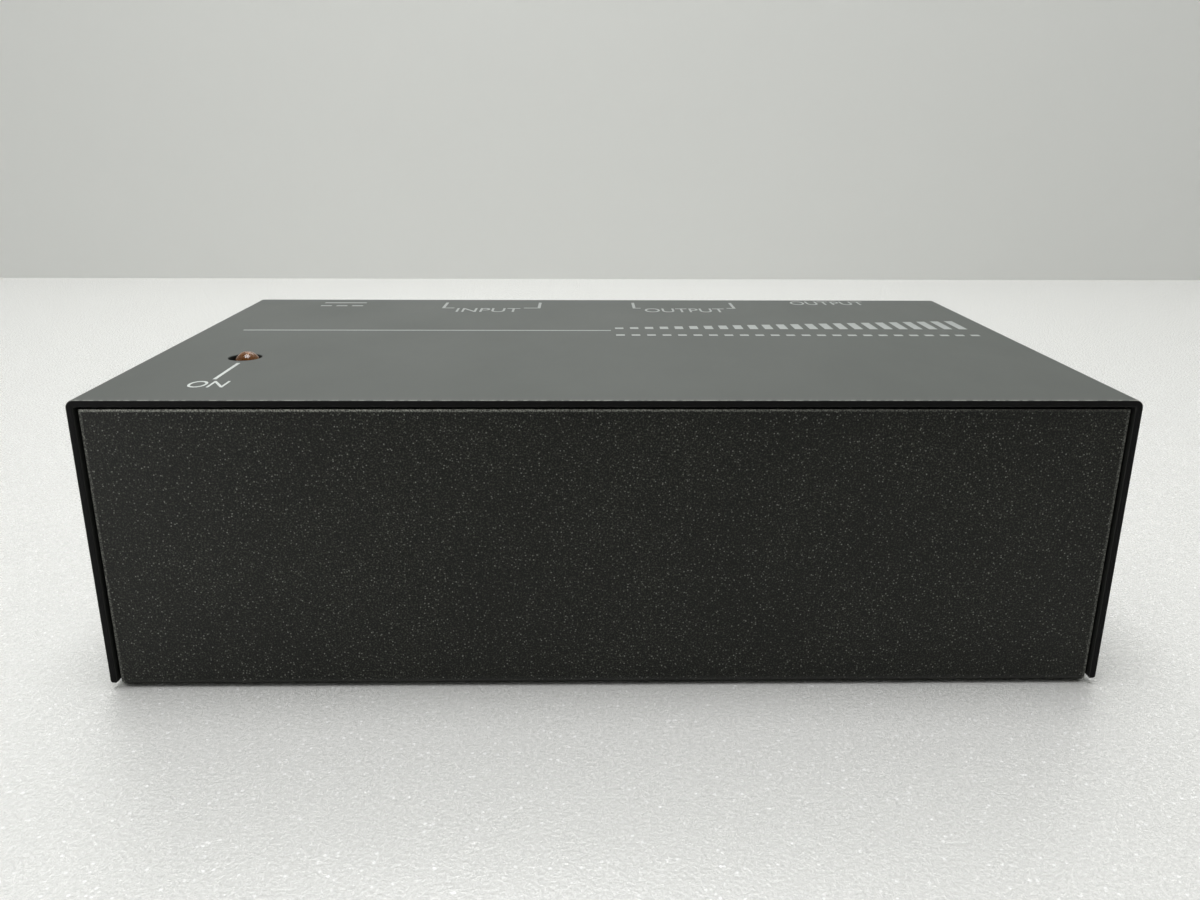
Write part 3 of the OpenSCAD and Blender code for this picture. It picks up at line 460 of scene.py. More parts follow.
def makeCoverPaint():
    look = coverPaintLook
    tree, shader = startMaterial("cover_paint", look["colour"], look["roughness"][1], specular=look["specular"])
    drift = addNoise(tree, look["driftScale"], 2)
    dust = addRange(tree, addCells(tree, look["dustSize"])[0], (1, 0), look["dustReach"])
    colour = addMix(tree, drift, look["colour"], look["secondColour"])
    colour = addMix(tree, multiply(tree, dust, look["dustShare"]), colour, look["dustColour"])
    # painted highlight and painted shade: a broken bright line along the rims of the sheet is a painted glint, and
    # its cut ends are darkened with painted shade
    depth = addDistance(tree, "Y")
    glintBreak = addRange(tree, addNoise(tree, 1 / look["glintBreakSize"]), look["glintBreakShare"], look["glintBreakReach"])
    paintedRimGlint = multiply(tree, addStep(tree, depth, look["rimGlintStart"]), glintBreak)
    cut = addStep(tree, depth, look["cutShadeStart"])
    colour = addMix(tree, paintedRimGlint, colour, look["rimGlintColour"])
    # painted shade: the faces inside the case and the wall of the lamp's hole are darkened where shade falls in
    # them
    inside = multiply(tree, addStep(tree, addDistance(tree, "X"), look["insideX"], (1, 0)),
                      addStep(tree, addPlace(tree, "Z"), look["insideZ"], (1, 0)))
    colour = addMix(tree, inside, colour, look["insideShadeColour"])
    smudge = addNoise(tree, look["smudgeScale"], 4, look["smudgeStretch"])
    addFinish(tree, shader, addMix(tree, cut, colour, look["cutShadeColour"]),
              addRange(tree, smudge, look["roughness"], noiseReach))
    # painted shade: the cut ends also get less specular, so that they stay dark
    specular = addRange(tree, cut, (look["specular"], look["cutShadeSpecular"]))
    tree.links.new(specular, shader.inputs["Specular IOR Level"])
    addBump(tree, shader, addNoise(tree, 1 / look["peelSize"]), look["peelDepth"])
    addBump(tree, shader, addNoise(tree, 1 / look["grainSize"], 2), look["grainDepth"])


chassisPaintLook = {
    "colour": (0.0045, 0.0050, 0.0035), "grainAndGlintColour": (0.059, 0.062, 0.048), "roughness": (0.34, 0.55),
    "specular": 0.25, "grainSize": 0.17 * mm, "grainDepth": 0.06 * mm, "peakReach": (0.49, 0.69),
    "blotchScale": 110, "blotchShare": (0.8, 1.15), "blotchReach": (0.35, 0.65),
    "fleckAndGlintColour": (0.52, 0.53, 0.47), "speckSize": 0.36 * mm, "speckReach": (0.08, 0.26),
    "speckChosen": (0.55, 0.95), "speckShare": 0.8, "speckDepth": 0.01 * mm, "rimZ": (30.10 * mm, 30.25 * mm),
    "rimX": (50.68 * mm, 50.85 * mm), "sideShare": 0.3, "rimY": (29.20 * mm, 29.45 * mm),
    "rimLightFade": (-20 * mm, 40 * mm), "rimLightShare": (1.0, 0.12), "glintShare": (0.1, 1.0), "glintReach": (0.40, 0.62)}


def makeChassisPaint():
    look = chassisPaintLook
    tree, shader = startMaterial("chassis_paint", look["colour"], look["roughness"][1], specular=look["specular"])
    # the pale crests of the grain and the specks are the powder's own texture with painted glints on it
    grain = addNoise(tree, 1 / look["grainSize"], 4)
    blotch = addRange(tree, addNoise(tree, look["blotchScale"], 4), look["blotchShare"], look["blotchReach"])
    peaks = multiply(tree, addRange(tree, grain, (0, 1), look["peakReach"]), blotch)
    base = addMix(tree, peaks, look["colour"], look["grainAndGlintColour"])
    distance, shade = addCells(tree, look["speckSize"])
    speck = multiply(tree, addRange(tree, distance, (1, 0), look["speckReach"]),
                     addRange(tree, shade, (0, 1), look["speckChosen"]))
    # painted highlight: the rims are lightened with a painted glint, and the top one fades towards its right end,
    # as light from the left falls on it
    top = multiply(tree, addRange(tree, addPlace(tree, "Z"), (0, 1), look["rimZ"]),
                   addRange(tree, addDistance(tree, "Y"), (0, 1), look["rimY"]))
    top = multiply(tree, top, addRange(tree, addPlace(tree, "X"), look["rimLightShare"], look["rimLightFade"]))
    side = addRange(tree, addDistance(tree, "X"), (0, look["sideShare"]), look["rimX"])
    rim = multiply(tree, addMath(tree, "MAXIMUM", top, side),
                   addRange(tree, grain, look["glintShare"], look["glintReach"]))
    colour = addMix(tree, multiply(tree, speck, look["speckShare"]), base, look["fleckAndGlintColour"])
    addFinish(tree, shader, addMix(tree, rim, colour, look["fleckAndGlintColour"]),
              addRange(tree, grain, look["roughness"], noiseReach))
    addBump(tree, shader, grain, look["grainDepth"])
    addBump(tree, shader, speck, look["speckDepth"])


metalLook = {
    "stainScale": 300, "stainReach": (0.45, 0.75), "stainRoughness": 0.3, "fineSize": 0.15 * mm,
    "spread": (0.75, 1.3)}
plasticLook = {"broadScale": 250, "broadReach": (0.35, 0.7), "spread": (0.85, 1.2)}


def makeMetal(name, colour, roughness, brush=(1, 1, 1), tarnish=(0.5, 0.45, 0.4), tarnishShare=0.25,
              pits=0.002 * mm):
    look = metalLook
    tree, shader = startMaterial(name, colour, roughness, metallic=1.0)
    fine = addNoise(tree, 1 / look["fineSize"], 3, brush)
    stain = addRange(tree, addNoise(tree, look["stainScale"], 4), (0, 1), look["stainReach"])
    dulled = multiply(tree, stain, tarnishShare)
    spread = addRange(tree, fine, [share * roughness for share in look["spread"]], noiseReach)
    addFinish(tree, shader, addMix(tree, dulled, colour, tarnish),
              addMath(tree, "ADD", spread, multiply(tree, dulled, look["stainRoughness"])))
    addBump(tree, shader, fine, pits)


def makePlastic(name, colour, roughness, grain=0.3 * mm, depth=0.003 * mm, shade=0.75, coat=0.0, marked=False):
    look = plasticLook
    tree, shader = startMaterial(name, colour, roughness, coat=coat)
    fine = addNoise(tree, 1 / grain)
    broad = addRange(tree, addNoise(tree, look["broadScale"]), (0, 1), look["broadReach"])
    finish = addMix(tree, broad, colour, tuple(shade * part for part in colour))
    if marked:
        mark = tree.nodes.new("ShaderNodeAttribute")
        mark.attribute_name = "mark"
        finish = addMix(tree, mark.outputs["Alpha"], finish, mark.outputs["Color"])
    spread = addRange(tree, fine, [share * roughness for share in look["spread"]], noiseReach)
    addFinish(tree, shader, finish, spread)
    addBump(tree, shader, fine, depth)


amberLook = {
    "colours": ((0.66, 0.27, 0.05), (0.50, 0.17, 0.03)), "roughness": (0.03, 0.12), "transmission": 0.8,
    "ior": 1.54, "hazeScale": 900, "depth": 0.003 * mm}


def makeAmberEpoxy():
    look = amberLook
    tree, shader = startMaterial("amber_epoxy", look["colours"][0], look["roughness"][0])
    setInputs(shader, {"Transmission Weight": look["transmission"], "IOR": look["ior"]})
    haze = addNoise(tree, look["hazeScale"])
    addFinish(tree, shader, addMix(tree, haze, *look["colours"]),
              addRange(tree, haze, look["roughness"], noiseReach))
    addBump(tree, shader, haze, look["depth"])


maskLook = {
    "colours": ((0.016, 0.105, 0.036), (0.022, 0.14, 0.05)), "laidColour": (0.06, 0.27, 0.09),
    "roughness": (0.25, 0.36), "coat": 0.3, "cloudScale": 120, "weaveScale": 1400, "depth": 0.002 * mm}


def makeSolderMask():
    look = maskLook
    tree, shader = startMaterial("solder_mask", look["colours"][0], look["roughness"][0], coat=look["coat"])
    weave = addPattern(tree, "TexWave", look["weaveScale"]).outputs["Fac"]
    mask = addMix(tree, addNoise(tree, look["cloudScale"]), *look["colours"])
    # copper shows paler through the mask wherever it stands up from the board
    laid = addStep(tree, addPlace(tree, "Z"), boardTop() + tiny)
    addFinish(tree, shader, addMix(tree, laid, mask, look["laidColour"]), addRange(tree, weave, look["roughness"]))
    addBump(tree, shader, weave, look["depth"])


inkLook = {
    "colour": (0.58, 0.61, 0.59), "farColour": (0.30, 0.32, 0.31), "thinColour": (0.22, 0.24, 0.23),
    "fadeY": (-20 * mm, 10 * mm), "thinSize": 0.2 * mm, "thinReach": (0.45, 0.75), "thinShare": 0.5,
    "roughness": (0.4, 0.55), "depth": 0.003 * mm}


def makeLegendInk():
    # the ink is fainter towards the rear and thin in places
    look = inkLook
    tree, shader = startMaterial("legend_ink", look["colour"], look["roughness"][0])
    thin = addNoise(tree, 1 / look["thinSize"])
    far = addRange(tree, addPlace(tree, "Y"), (0, 1), look["fadeY"])
    faded = addMix(tree, far, look["colour"], look["farColour"])
    worn = addRange(tree, thin, (0, look["thinShare"]), look["thinReach"])
    addFinish(tree, shader, addMix(tree, worn, faded, look["thinColour"]), addRange(tree, thin, look["roughness"]))
    addBump(tree, shader, thin, look["depth"])


def makeMaterials():
    makeCoverPaint()
    makeChassisPaint()
    makeMetal("black_screw", (0.035, 0.035, 0.037), 0.42, tarnish=(0.12, 0.11, 0.10), tarnishShare=0.3)
    makeMetal("plated_steel", (0.62, 0.63, 0.65), 0.30, tarnish=(0.55, 0.52, 0.42), pits=0.004 * mm)
    makeMetal("tinned_metal", (0.66, 0.67, 0.68), 0.34, brush=(1, 1, 0.15))
    makeMetal("nickel", (0.70, 0.68, 0.64), 0.16, brush=(1, 0.2, 1), tarnishShare=0.12)
    makeMetal("contact_bronze", (0.72, 0.52, 0.24), 0.26, brush=(0.2, 1, 1), tarnish=(0.4, 0.22, 0.09))
    makePlastic("black_plastic", (0.016, 0.016, 0.017), 0.45, depth=0.008 * mm)
    makePlastic("white_plastic", (0.76, 0.75, 0.71), 0.32, shade=0.9)
    makePlastic("red_plastic", (0.42, 0.016, 0.014), 0.32)
    makePlastic("moulded_epoxy", (0.02, 0.02, 0.021), 0.6, grain=0.12 * mm, depth=0.012 * mm, marked=True)
    makePlastic("capacitor_sleeve", (0.02, 0.034, 0.09), 0.3, grain=0.8 * mm, depth=tiny, coat=0.3, marked=True)
    makePlastic("film_resin", (0.32, 0.03, 0.02), 0.28, grain=0.6 * mm, depth=0.02 * mm, coat=0.4)
    makePlastic("ceramic_coat", (0.52, 0.24, 0.07), 0.5, grain=0.5 * mm, depth=0.04 * mm)
    makePlastic("resistor_lacquer", (0.06, 0.28, 0.40), 0.3, grain=0.5 * mm, depth=0.02 * mm, coat=0.4, marked=True)
    makePlastic("ferrite", (0.045, 0.045, 0.047), 0.7, grain=0.1 * mm, depth=0.02 * mm)
    makeAmberEpoxy()
    makeSolderMask()
    makeLegendInk()
    print("materials made:", len(materials))


screwShape = {
    "headRadius": 2.75 * mm, "headHeight": 1.9 * mm, "rim": 0.75 * mm, "threadRadius": 1.45 * mm,
    "pitch": 0.5 * mm, "threadDepth": 0.13 * mm, "lead": 0.3 * mm, "crown": (18, 36, 54, 72), "recess": 3.0 * mm,
    "recessWidth": 0.72 * mm, "recessDepth": 1.1 * mm, "recessDraft": (0.55, 0.7, 1), "edge": 0.06 * mm}
topCoverShape = {
    "bendRadius": 0.8 * mm, "bendSteps": 10, "sheet": 0.7 * mm, "cutEdge": 0.15 * mm, "lowerEdge": 0.28 * mm,
    "lampHole": 1.82 * mm, "lampShift": 0.25 * mm, "screwHole": 1.7 * mm}


def makeTopCover():
    shape = topCoverShape
    low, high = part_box("top_cover")
    deselectAll()
    bpy.ops.mesh.primitive_plane_add(size=1, location=over((low, high), high.z))
    cover = bpy.context.object
    cover.scale = (high.x - low.x, high.y - low.y, 1)
    applyPlace(cover)
    editMode(cover)
    for side in (-1, 1):
        selectEdges(cover, lambda end: side * end.x > high.x - tiny and end.z > high.z - tiny)
        extrudeUp(low.z - high.z)
    selectEdges(cover, lambda end: abs(end.x) > high.x - tiny and end.z > high.z - tiny)
    bevelSelected(shape["bendRadius"], shape["bendSteps"])
    objectMode()
    applyModifier(cover, "SOLIDIFY", thickness=shape["sheet"], offset=-1, use_even_offset=True)
    editMode(cover)
    selectEdges(cover, lambda end: abs(end.x) > high.x - tiny and end.z < low.z + tiny)
    bevelSelected(shape["lowerEdge"], 4)
    objectMode()
    lamp = middle("led_lens")
    combine(cover, rod(shape["lampHole"], (lamp.x - shape["lampShift"], lamp.y, high.z - 2 * mm), 4 * mm, sides=96))
    for y in screwRows():
        start = (2 * low.x, y, middle("cover_screws").z)
        combine(cover, rod(shape["screwHole"], start, 4 * high.x, alongX, 48))
    roundEdges(cover, shape["cutEdge"])
    dress(cover, "top_cover", "cover_paint")


baseChassisShape = {
    "sheet": 1.0 * mm, "bendRadius": 1.2 * mm, "bendSteps": 8, "cutEdge": 0.26 * mm, "sideGap": 0.3 * mm,
    "earWidth": 9.0 * mm, "relief": 0.6 * mm, "earHeight": 14.0 * mm, "earRoot": 1.6 * mm,
    "standoffHole": 2.12 * mm, "standoffInset": 2.5 * mm, "tapped": 1.5 * mm}
# the radius of the hole in the rear panel round each node
panelHoles = {
    "input_insulator_left": 4.95 * mm, "input_insulator_right": 4.95 * mm, "input_jack_screw": 1.7 * mm,
    "output_insulator_left": 4.95 * mm, "output_insulator_right": 4.95 * mm, "output_jack_screw": 1.7 * mm,
    "line_jack_bushing": 5.65 * mm, "dc_centre_pin": 4.15 * mm, "ground_screw": 1.7 * mm}


def makeBaseChassis():
    shape = baseChassisShape
    low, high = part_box("base_chassis")
    panelHalf = high.x - shape["sideGap"]
    rootX = high.x - shape["earRoot"]
    earY = screwRows()[1]
    deselectAll()
    bpy.ops.mesh.primitive_plane_add(size=1, location=(0, middle("base_chassis").y, low.z))
    chassis = bpy.context.object
    chassis.scale = (2 * panelHalf, high.y - low.y, 1)
    applyPlace(chassis)
    editMode(chassis)
    selectAll()
    bpy.ops.mesh.flip_normals()
    half = shape["earWidth"] / 2
    for end in (-1, 1):
        for offset in (-half - shape["relief"], -half, half, half + shape["relief"]):
            bisectAll((0, end * earY + offset, 0), (0, 1, 0))
        bisectAll((end * rootX, 0, 0), (1, 0, 0))
    # the relief cuts beside the ears
    selectFaces(chassis, lambda place, normal: abs(place.x) > rootX
                and half < abs(abs(place.y) - earY) < half + shape["relief"])
    bpy.ops.mesh.delete(type="FACE")
    # front and rear panels
    selectEdges(chassis, lambda end: abs(end.y) > high.y - tiny)
    extrudeUp(high.z - low.z)
    # the ears stand a little further out than the panels
    for side in (-1, 1):
        selectEdges(chassis, lambda end: side * end.x > panelHalf - tiny and end.z < low.z + tiny
                    and abs(abs(end.y) - earY) < half + tiny)
        slide(x=side * shape["sideGap"])
        extrudeUp(shape["earHeight"])
    # bends
    selectEdges(chassis, lambda end: end.z < low.z + tiny
                and (abs(end.y) > high.y - tiny or abs(end.x) > high.x - tiny))
    bevelSelected(shape["bendRadius"], shape["bendSteps"])
    objectMode()
    applyModifier(chassis, "SOLIDIFY", thickness=shape["sheet"], offset=-1, use_even_offset=True)
    combine(chassis, joinAll(chassisHoles(low, high)))
    roundEdges(chassis, shape["cutEdge"])
    dress(chassis, "base_chassis", "chassis_paint")


def chassisHoles(low, high):
    shape = baseChassisShape
    holes = [rod(radius, (middle(node).x, high.y - 3 * mm, middle(node).z), 6 * mm, alongY)
             for node, radius in panelHoles.items()]
    for y in screwRows():
        holes.append(rod(shape["tapped"], (2 * low.x, y, middle("cover_screws").z), 4 * high.x, alongX, 48))
    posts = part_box("board_standoffs")
    inset = shape["standoffInset"]
    for x in (posts[0].x + inset, posts[1].x - inset):
        for y in (posts[0].y + inset, posts[1].y - inset):
            holes.append(rod(shape["standoffHole"], (x, y, low.z - 1 * mm), 3 * mm))
    return holes


def makeThread(rootRadius, crestRadius, pitch, start, length, steps):
    # a ridge of triangular section, wound up by the screw modifier
    deselectAll()
    bpy.ops.mesh.primitive_circle_add(vertices=3, radius=pitch / 2)
    ridge = bpy.context.object
    section = ((crestRadius, 0), (rootRadius, 0.46 * pitch), (rootRadius, -0.46 * pitch))
    for corner, (x, z) in zip(ridge.data.vertices, section):
        corner.co = (x, 0, z + start + pitch / 2)
    turns = max(1, int(length / pitch))
    applyModifier(ridge, "SCREW", screw_offset=pitch, iterations=turns, steps=steps, render_steps=steps,
                  use_merge_vertices=True, use_smooth_shade=False)
    editMode(ridge)
    bpy.ops.mesh.select_mode(type="EDGE")
    bpy.ops.mesh.select_non_manifold(extend=False)
    bpy.ops.mesh.fill()
    mergeDoubles()
    objectMode()
    smooth(ridge)
    return ridge


def makeScrew(threadLength):
    # a cross-recess pan head, its seat at the origin and its thread down -Z
    shape = screwShape
    r, h, rim, lead = shape["headRadius"], shape["headHeight"], shape["rim"], shape["lead"]
    core = shape["threadRadius"] - shape["threadDepth"]
    crown = [(r * math.cos(a), rim + (h - rim) * math.sin(a)) for a in map(math.radians, shape["crown"])]
    corners = [(nearAxis, -threadLength), (core - 0.25 * mm, -threadLength), (core, lead - threadLength),
               (core, 0, 0), (r - 0.08 * mm, 0), (r, rim * 0.6), *crown, (0.35 * mm, h), (nearAxis, h)]
    screw = turned(corners, 0.12 * mm, closed=False)
    arms = []
    for turn in (0, math.pi / 2):
        half, wide = shape["recess"] / 2, shape["recessWidth"] / 2
        arm = block((-half, -wide, h - shape["recessDepth"]), (half, wide, h + 1 * mm))
        editMode(arm)
        selectFaces(arm, lambda place, normal: normal.z < -0.5)
        bpy.ops.transform.resize(value=shape["recessDraft"], center_override=(0, 0, h))
        objectMode()
        arms.append(standAt(arm, turn=(0, 0, turn)))
    for arm in arms:
        combine(screw, arm)
    roundEdges(screw, shape["edge"], 2, 45)
    ridge = makeThread(core - 0.05 * mm, shape["threadRadius"], shape["pitch"], lead - threadLength,
                       threadLength - 2 * lead, 32)
    return joinAll([screw, ridge])


def spun(turn, angle):
    # a turn after a twist of the piece about its own Z
    turn = Euler(turn)
    turn.rotate_axis("Z", angle)
    return turn


def placeScrews():
    seat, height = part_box("top_cover")[1].x, middle("cover_screws").z
    places = [(side * seat, y, height) for side in (-1, 1) for y in screwRows()]
    # each stopped at another angle
    turns = [spun((0, math.copysign(math.pi / 2, x), 0), 0.6 * (i + 1)) for i, (x, _, _) in enumerate(places)]
    dress(scatter(makeScrew(5.0 * mm), places, turns), "cover_screws", "black_screw")
    for node, body, slotName, angle in (("input_jack_screw", "case", "black_screw", 0.5),
                                        ("output_jack_screw", "case", "black_screw", 1.1),
                                        ("ground_screw", "ground_screw", "plated_steel", 0.25)):
        low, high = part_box(node)
        seat = high.y - screwShape["headHeight"]
        place = (middle(node).x, seat, middle(node).z)
        dress(standAt(makeScrew(seat - low.y), place, spun(alongY, angle)), node, slotName, body)


lampShape = {
    "flange": 1.0 * mm, "radius": 1.43 * mm, "domeSteps": 12, "frameFoot": 0.3 * mm, "postRadius": 0.22 * mm,
    "cupRadius": 0.55 * mm, "cupDepth": 0.3 * mm, "cupShift": 0.4 * mm, "postLow": (0.55 * mm, -0.2 * mm),
    "postHigh": (0.9 * mm, 0.2 * mm)}


def makeLamp():
    shape = lampShape
    low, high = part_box("led_lens")
    centre = middle("led_lens")
    r, flangeRadius, flangeTop = shape["radius"], (high.x - low.x) / 2, low.z + shape["flange"]
    domeFoot = high.z - r
    corners = [(nearAxis, low.z, 0), (flangeRadius, low.z), (flangeRadius, flangeTop), (r, flangeTop),
               *domePoints(r, domeFoot, shape["domeSteps"]), (tiny, high.z, 0)]
    lens = turned(corners, 0.08 * mm, closed=False, place=(centre.x, centre.y, 0))
    dress(lens, "led_lens", "amber_epoxy")
    # the cup and the post that hold the chip inside the lens
    foot, top, stem, cup = low.z + shape["frameFoot"], domeFoot - 0.2 * mm, shape["postRadius"], shape["cupRadius"]
    bed = top - shape["cupDepth"]
    corners = [(nearAxis, foot), (stem, foot), (stem, top - 0.5 * mm), (cup, top - 0.45 * mm), (cup, top),
               (cup - 0.1 * mm, top), (0.25 * mm, bed), (nearAxis, bed)]
    anvil = turned(corners, 0.04 * mm, 24, closed=False, place=(centre.x - shape["cupShift"], centre.y, 0))
    (x0, y0), (x1, y1) = shape["postLow"], shape["postHigh"]
    post = block((centre.x + x0, centre.y + y0, foot), (centre.x + x1, centre.y + y1, top - 0.2 * mm))
    roundEdges(post, 0.05 * mm, 2)
    finishPiece(joinAll([anvil, post]), "led_lead_frame", "tinned_metal")


# the legends' places are in millimetres: x from the middle of the cover, y from its front edge
legendShape = {
    "thickness": 0.02 * mm, "sunk": 0.004 * mm, "bevel": 0.008 * mm, "frontEdge": -30.0 * mm, "stroke": 0.42,
    "onWord": (-42.6, -38.75, 5.05, 7.7), "leader": (-40.9, -40.52, 8.5, 16.05), "rule": (-46.4, 1.1, 35.1, 35.5),
    "pairs": (("INPUT", -22.9, -8.95, -20.8, -11.65), ("OUTPUT", 5.0, 19.7, 6.45, 18.1)), "pairY": (49.2, 52.25),
    "bracketTop": 57.25, "bracketGap": 0.5, "lineWord": (28.9, 40.1, 55.75, 58.75),
    "dcBar": (-41.2, -35.0, 56.6, 57.2), "dcDash": (1.6, 2.3, 53.95, 54.55), "rampX": 1.7, "rampStep": 1.975,
    "rampBar": 1.1, "rampY": (36.4, 37.3), "rampRise": 0.215, "dashY": (31.85, 32.65)}


def inkBar(x0, x1, y0, y1):
    shape = legendShape
    top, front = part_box("top_cover")[1].z, shape["frontEdge"]
    bar = block((x0 * mm, front + y0 * mm, top - shape["sunk"]),
                (x1 * mm, front + y1 * mm, top + shape["thickness"]))
    editMode(bar)
    selectEdges(bar, lambda end: end.z > top)
    bevelSelected(shape["bevel"], 2)
    objectMode()
    return bar


def inkWord(words, x0, x1, y0, y1):
    shape = legendShape
    thick = shape["thickness"]
    deselectAll()
    bpy.ops.object.text_add()
    text = bpy.context.object.data
    text.body, text.extrude, text.resolution_u = words, 0.5, 6
    bpy.ops.object.convert(target="MESH")
    word = bpy.context.object
    xs = [v.co.x for v in word.data.vertices]
    ys = [v.co.y for v in word.data.vertices]
    wide, tall = (x1 - x0) * mm / (max(xs) - min(xs)), (y1 - y0) * mm / (max(ys) - min(ys))
    word.scale = (wide, tall, thick)
    word.location = (x0 * mm - min(xs) * wide, shape["frontEdge"] + y0 * mm - min(ys) * tall,
                     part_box("top_cover")[1].z + thick / 2 - shape["sunk"])
    applyPlace(word)
    editMode(word)
    mergeDoubles(0.0002 * mm)
    objectMode()
    return word


def makeLegends():
    shape = legendShape
    stroke = shape["stroke"]
    ink = [inkWord("ON", *shape["onWord"]), inkBar(*shape["leader"]), inkBar(*shape["rule"])]
    # brackets gather the two sockets of each pair
    foot, level = shape["pairY"]
    for word, left, right, start, end in shape["pairs"]:
        ink.append(inkWord(word, start, end, foot, level))
        for side, inner in ((left, start - shape["bracketGap"]), (right, end + shape["bracketGap"])):
            ink += [inkBar(min(side, inner), max(side, inner), level, level + stroke),
                    inkBar(side - stroke / 2, side + stroke / 2, level, shape["bracketTop"])]
    ink.append(inkWord("OUTPUT", *shape["lineWord"]))
    # the sign for direct current beside the inlet
    ink.append(inkBar(*shape["dcBar"]))
    length, step, y0, y1 = shape["dcDash"]
    for x in (shape["dcBar"][0] + step * i for i in range(3)):
        ink.append(inkBar(x, x + length, y0, y1))
    # a ramp of rising bars over a row of dashes stands where a name would be
    y0, y1 = shape["rampY"]
    for i in range(24):
        x = shape["rampX"] + shape["rampStep"] * i
        ink += [inkBar(x, x + shape["rampBar"], y0, y1 + shape["rampRise"] * i),
                inkBar(x, x + shape["rampBar"], *shape["dashY"])]
    finishPiece(joinAll(ink), "printed_legends", "legend_ink")


phonoShape = {
    "collar": 4.8 * mm, "core": 3.73 * mm, "hole": 1.64 * mm, "shell": 4.15 * mm, "wall": 0.4 * mm,
    "collarBack": 28.6 * mm, "collarFace": 30.6 * mm, "groove": 0.1 * mm}


def makePhonoSockets():
    shape = phonoShape
    hole, core, collar, outer = (shape[name] for name in ("hole", "core", "collar", "shell"))
    inner, neck = outer - shape["wall"], outer - shape["groove"]
    back, face = shape["collarBack"], shape["collarFace"]
    for pair in ("input", "output"):
        shells = []
        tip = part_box(pair + "_shells")[1].y
        for side, slotName in (("left", "white_plastic"), ("right", "red_plastic")):
            node = f"{pair}_insulator_{side}"
            low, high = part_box(node)
            corners = [(hole, low.y), (core, low.y), (core, back, 0), (collar, back), (collar, face, 0.25 * mm),
                       (core, face, 0), (core, high.y, 0.3 * mm), (hole, high.y, 0.35 * mm)]
            dress(turned(corners, **rearward(node)), node, slotName)
            corners = [(inner, face), (outer, face, 0.05 * mm), (outer, tip - 0.75 * mm, 0.2 * mm),
                       (neck, tip - 0.55 * mm, 0.1 * mm), (neck, tip, 0.18 * mm), (inner, tip, 0.15 * mm)]
            shells.append(turned(corners, 0.05 * mm, 96, **rearward(node)))
        dress(joinAll(shells), pair + "_shells", "nickel")


lineJackShape = {
    "thread": 5.5 * mm, "threadDepth": 0.4 * mm, "threadStart": 3.6 * mm, "bore": 3.25 * mm, "pitch": 0.75 * mm,
    "nutFlats": 13.0 * mm, "nutLead": 1.3 * mm, "washerRadius": 7.2 * mm, "washerHole": 5.55 * mm}


def makeLineJack():
    shape = lineJackShape
    low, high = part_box("line_jack_bushing")
    lathe = {"sides": 96, **rearward("line_jack_bushing")}
    thread, bore, hole, start = shape["thread"], shape["bore"], shape["washerHole"], low.y + shape["threadStart"]
    root = thread - shape["threadDepth"]
    corners = [(bore, low.y), (thread, low.y), (thread, start - 0.2 * mm, 0), (root, start, 0),
               (root, high.y - 0.5 * mm, 0), (root - 0.15 * mm, high.y - 0.1 * mm),
               (root - 0.5 * mm, high.y, 0.2 * mm), (bore + 0.35 * mm, high.y), (bore, high.y - 0.35 * mm)]
    bushing = turned(corners, **lathe)
    ridge = makeThread(root - 0.05 * mm, thread, shape["pitch"], start + 0.1 * mm, high.y - low.y - 4.0 * mm, 64)
    standAt(ridge, **rearward("line_jack_bushing"))
    dress(joinAll([bushing, ridge]), "line_jack_bushing", "nickel")
    # washer
    low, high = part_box("line_jack_washer")
    washer = turned(tube(hole, shape["washerRadius"], low.y, high.y), 0.12 * mm, **lathe)
    dress(washer, "line_jack_washer", "plated_steel")
    # nut: a hexagon whose corners a cone has turned off
    low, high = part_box("line_jack_nut")
    flat, corner = shape["nutFlats"] / 2, shape["nutFlats"] / math.sqrt(3)
    axis = middle("line_jack_bushing")
    nut = rod(corner, (axis.x, low.y, axis.z), high.y - low.y, alongY, sides=6)
    wide, narrow = corner + 0.1 * mm, flat - 0.1 * mm
    chamfer = (wide - flat) * math.tan(math.radians(30))
    corners = [(nearAxis, low.y), (narrow, low.y), (wide, low.y + chamfer), (wide, high.y - chamfer),
               (narrow, high.y), (nearAxis, high.y)]
    combine(nut, turned(corners, 0, closed=False, **lathe), "INTERSECT")
    wide, below, above = hole + shape["nutLead"], low.y - 1 * mm, high.y + 1 * mm
    corners = [(nearAxis, below), (wide, below), (hole, low.y + 0.3 * mm), (hole, high.y - 0.3 * mm), (wide, above),
               (nearAxis, above)]
    combine(nut, turned(corners, 0, closed=False, **lathe))
    roundEdges(nut, 0.08 * mm, 2, 20)
    dress(nut, "line_jack_nut", "nickel")


dcInletShape = {
    "nose": 4.0 * mm, "cavity": 3.15 * mm, "cavityDepth": 10.5 * mm, "stemHole": 0.82 * mm, "slotWidth": 2.9 * mm,
    "slotGap": (0.4 * mm, 0.2 * mm), "edge": 0.25 * mm, "fineEdge": 0.12 * mm, "pin": 1.0 * mm, "stem": 0.8 * mm,
    "tipSteps": 6}


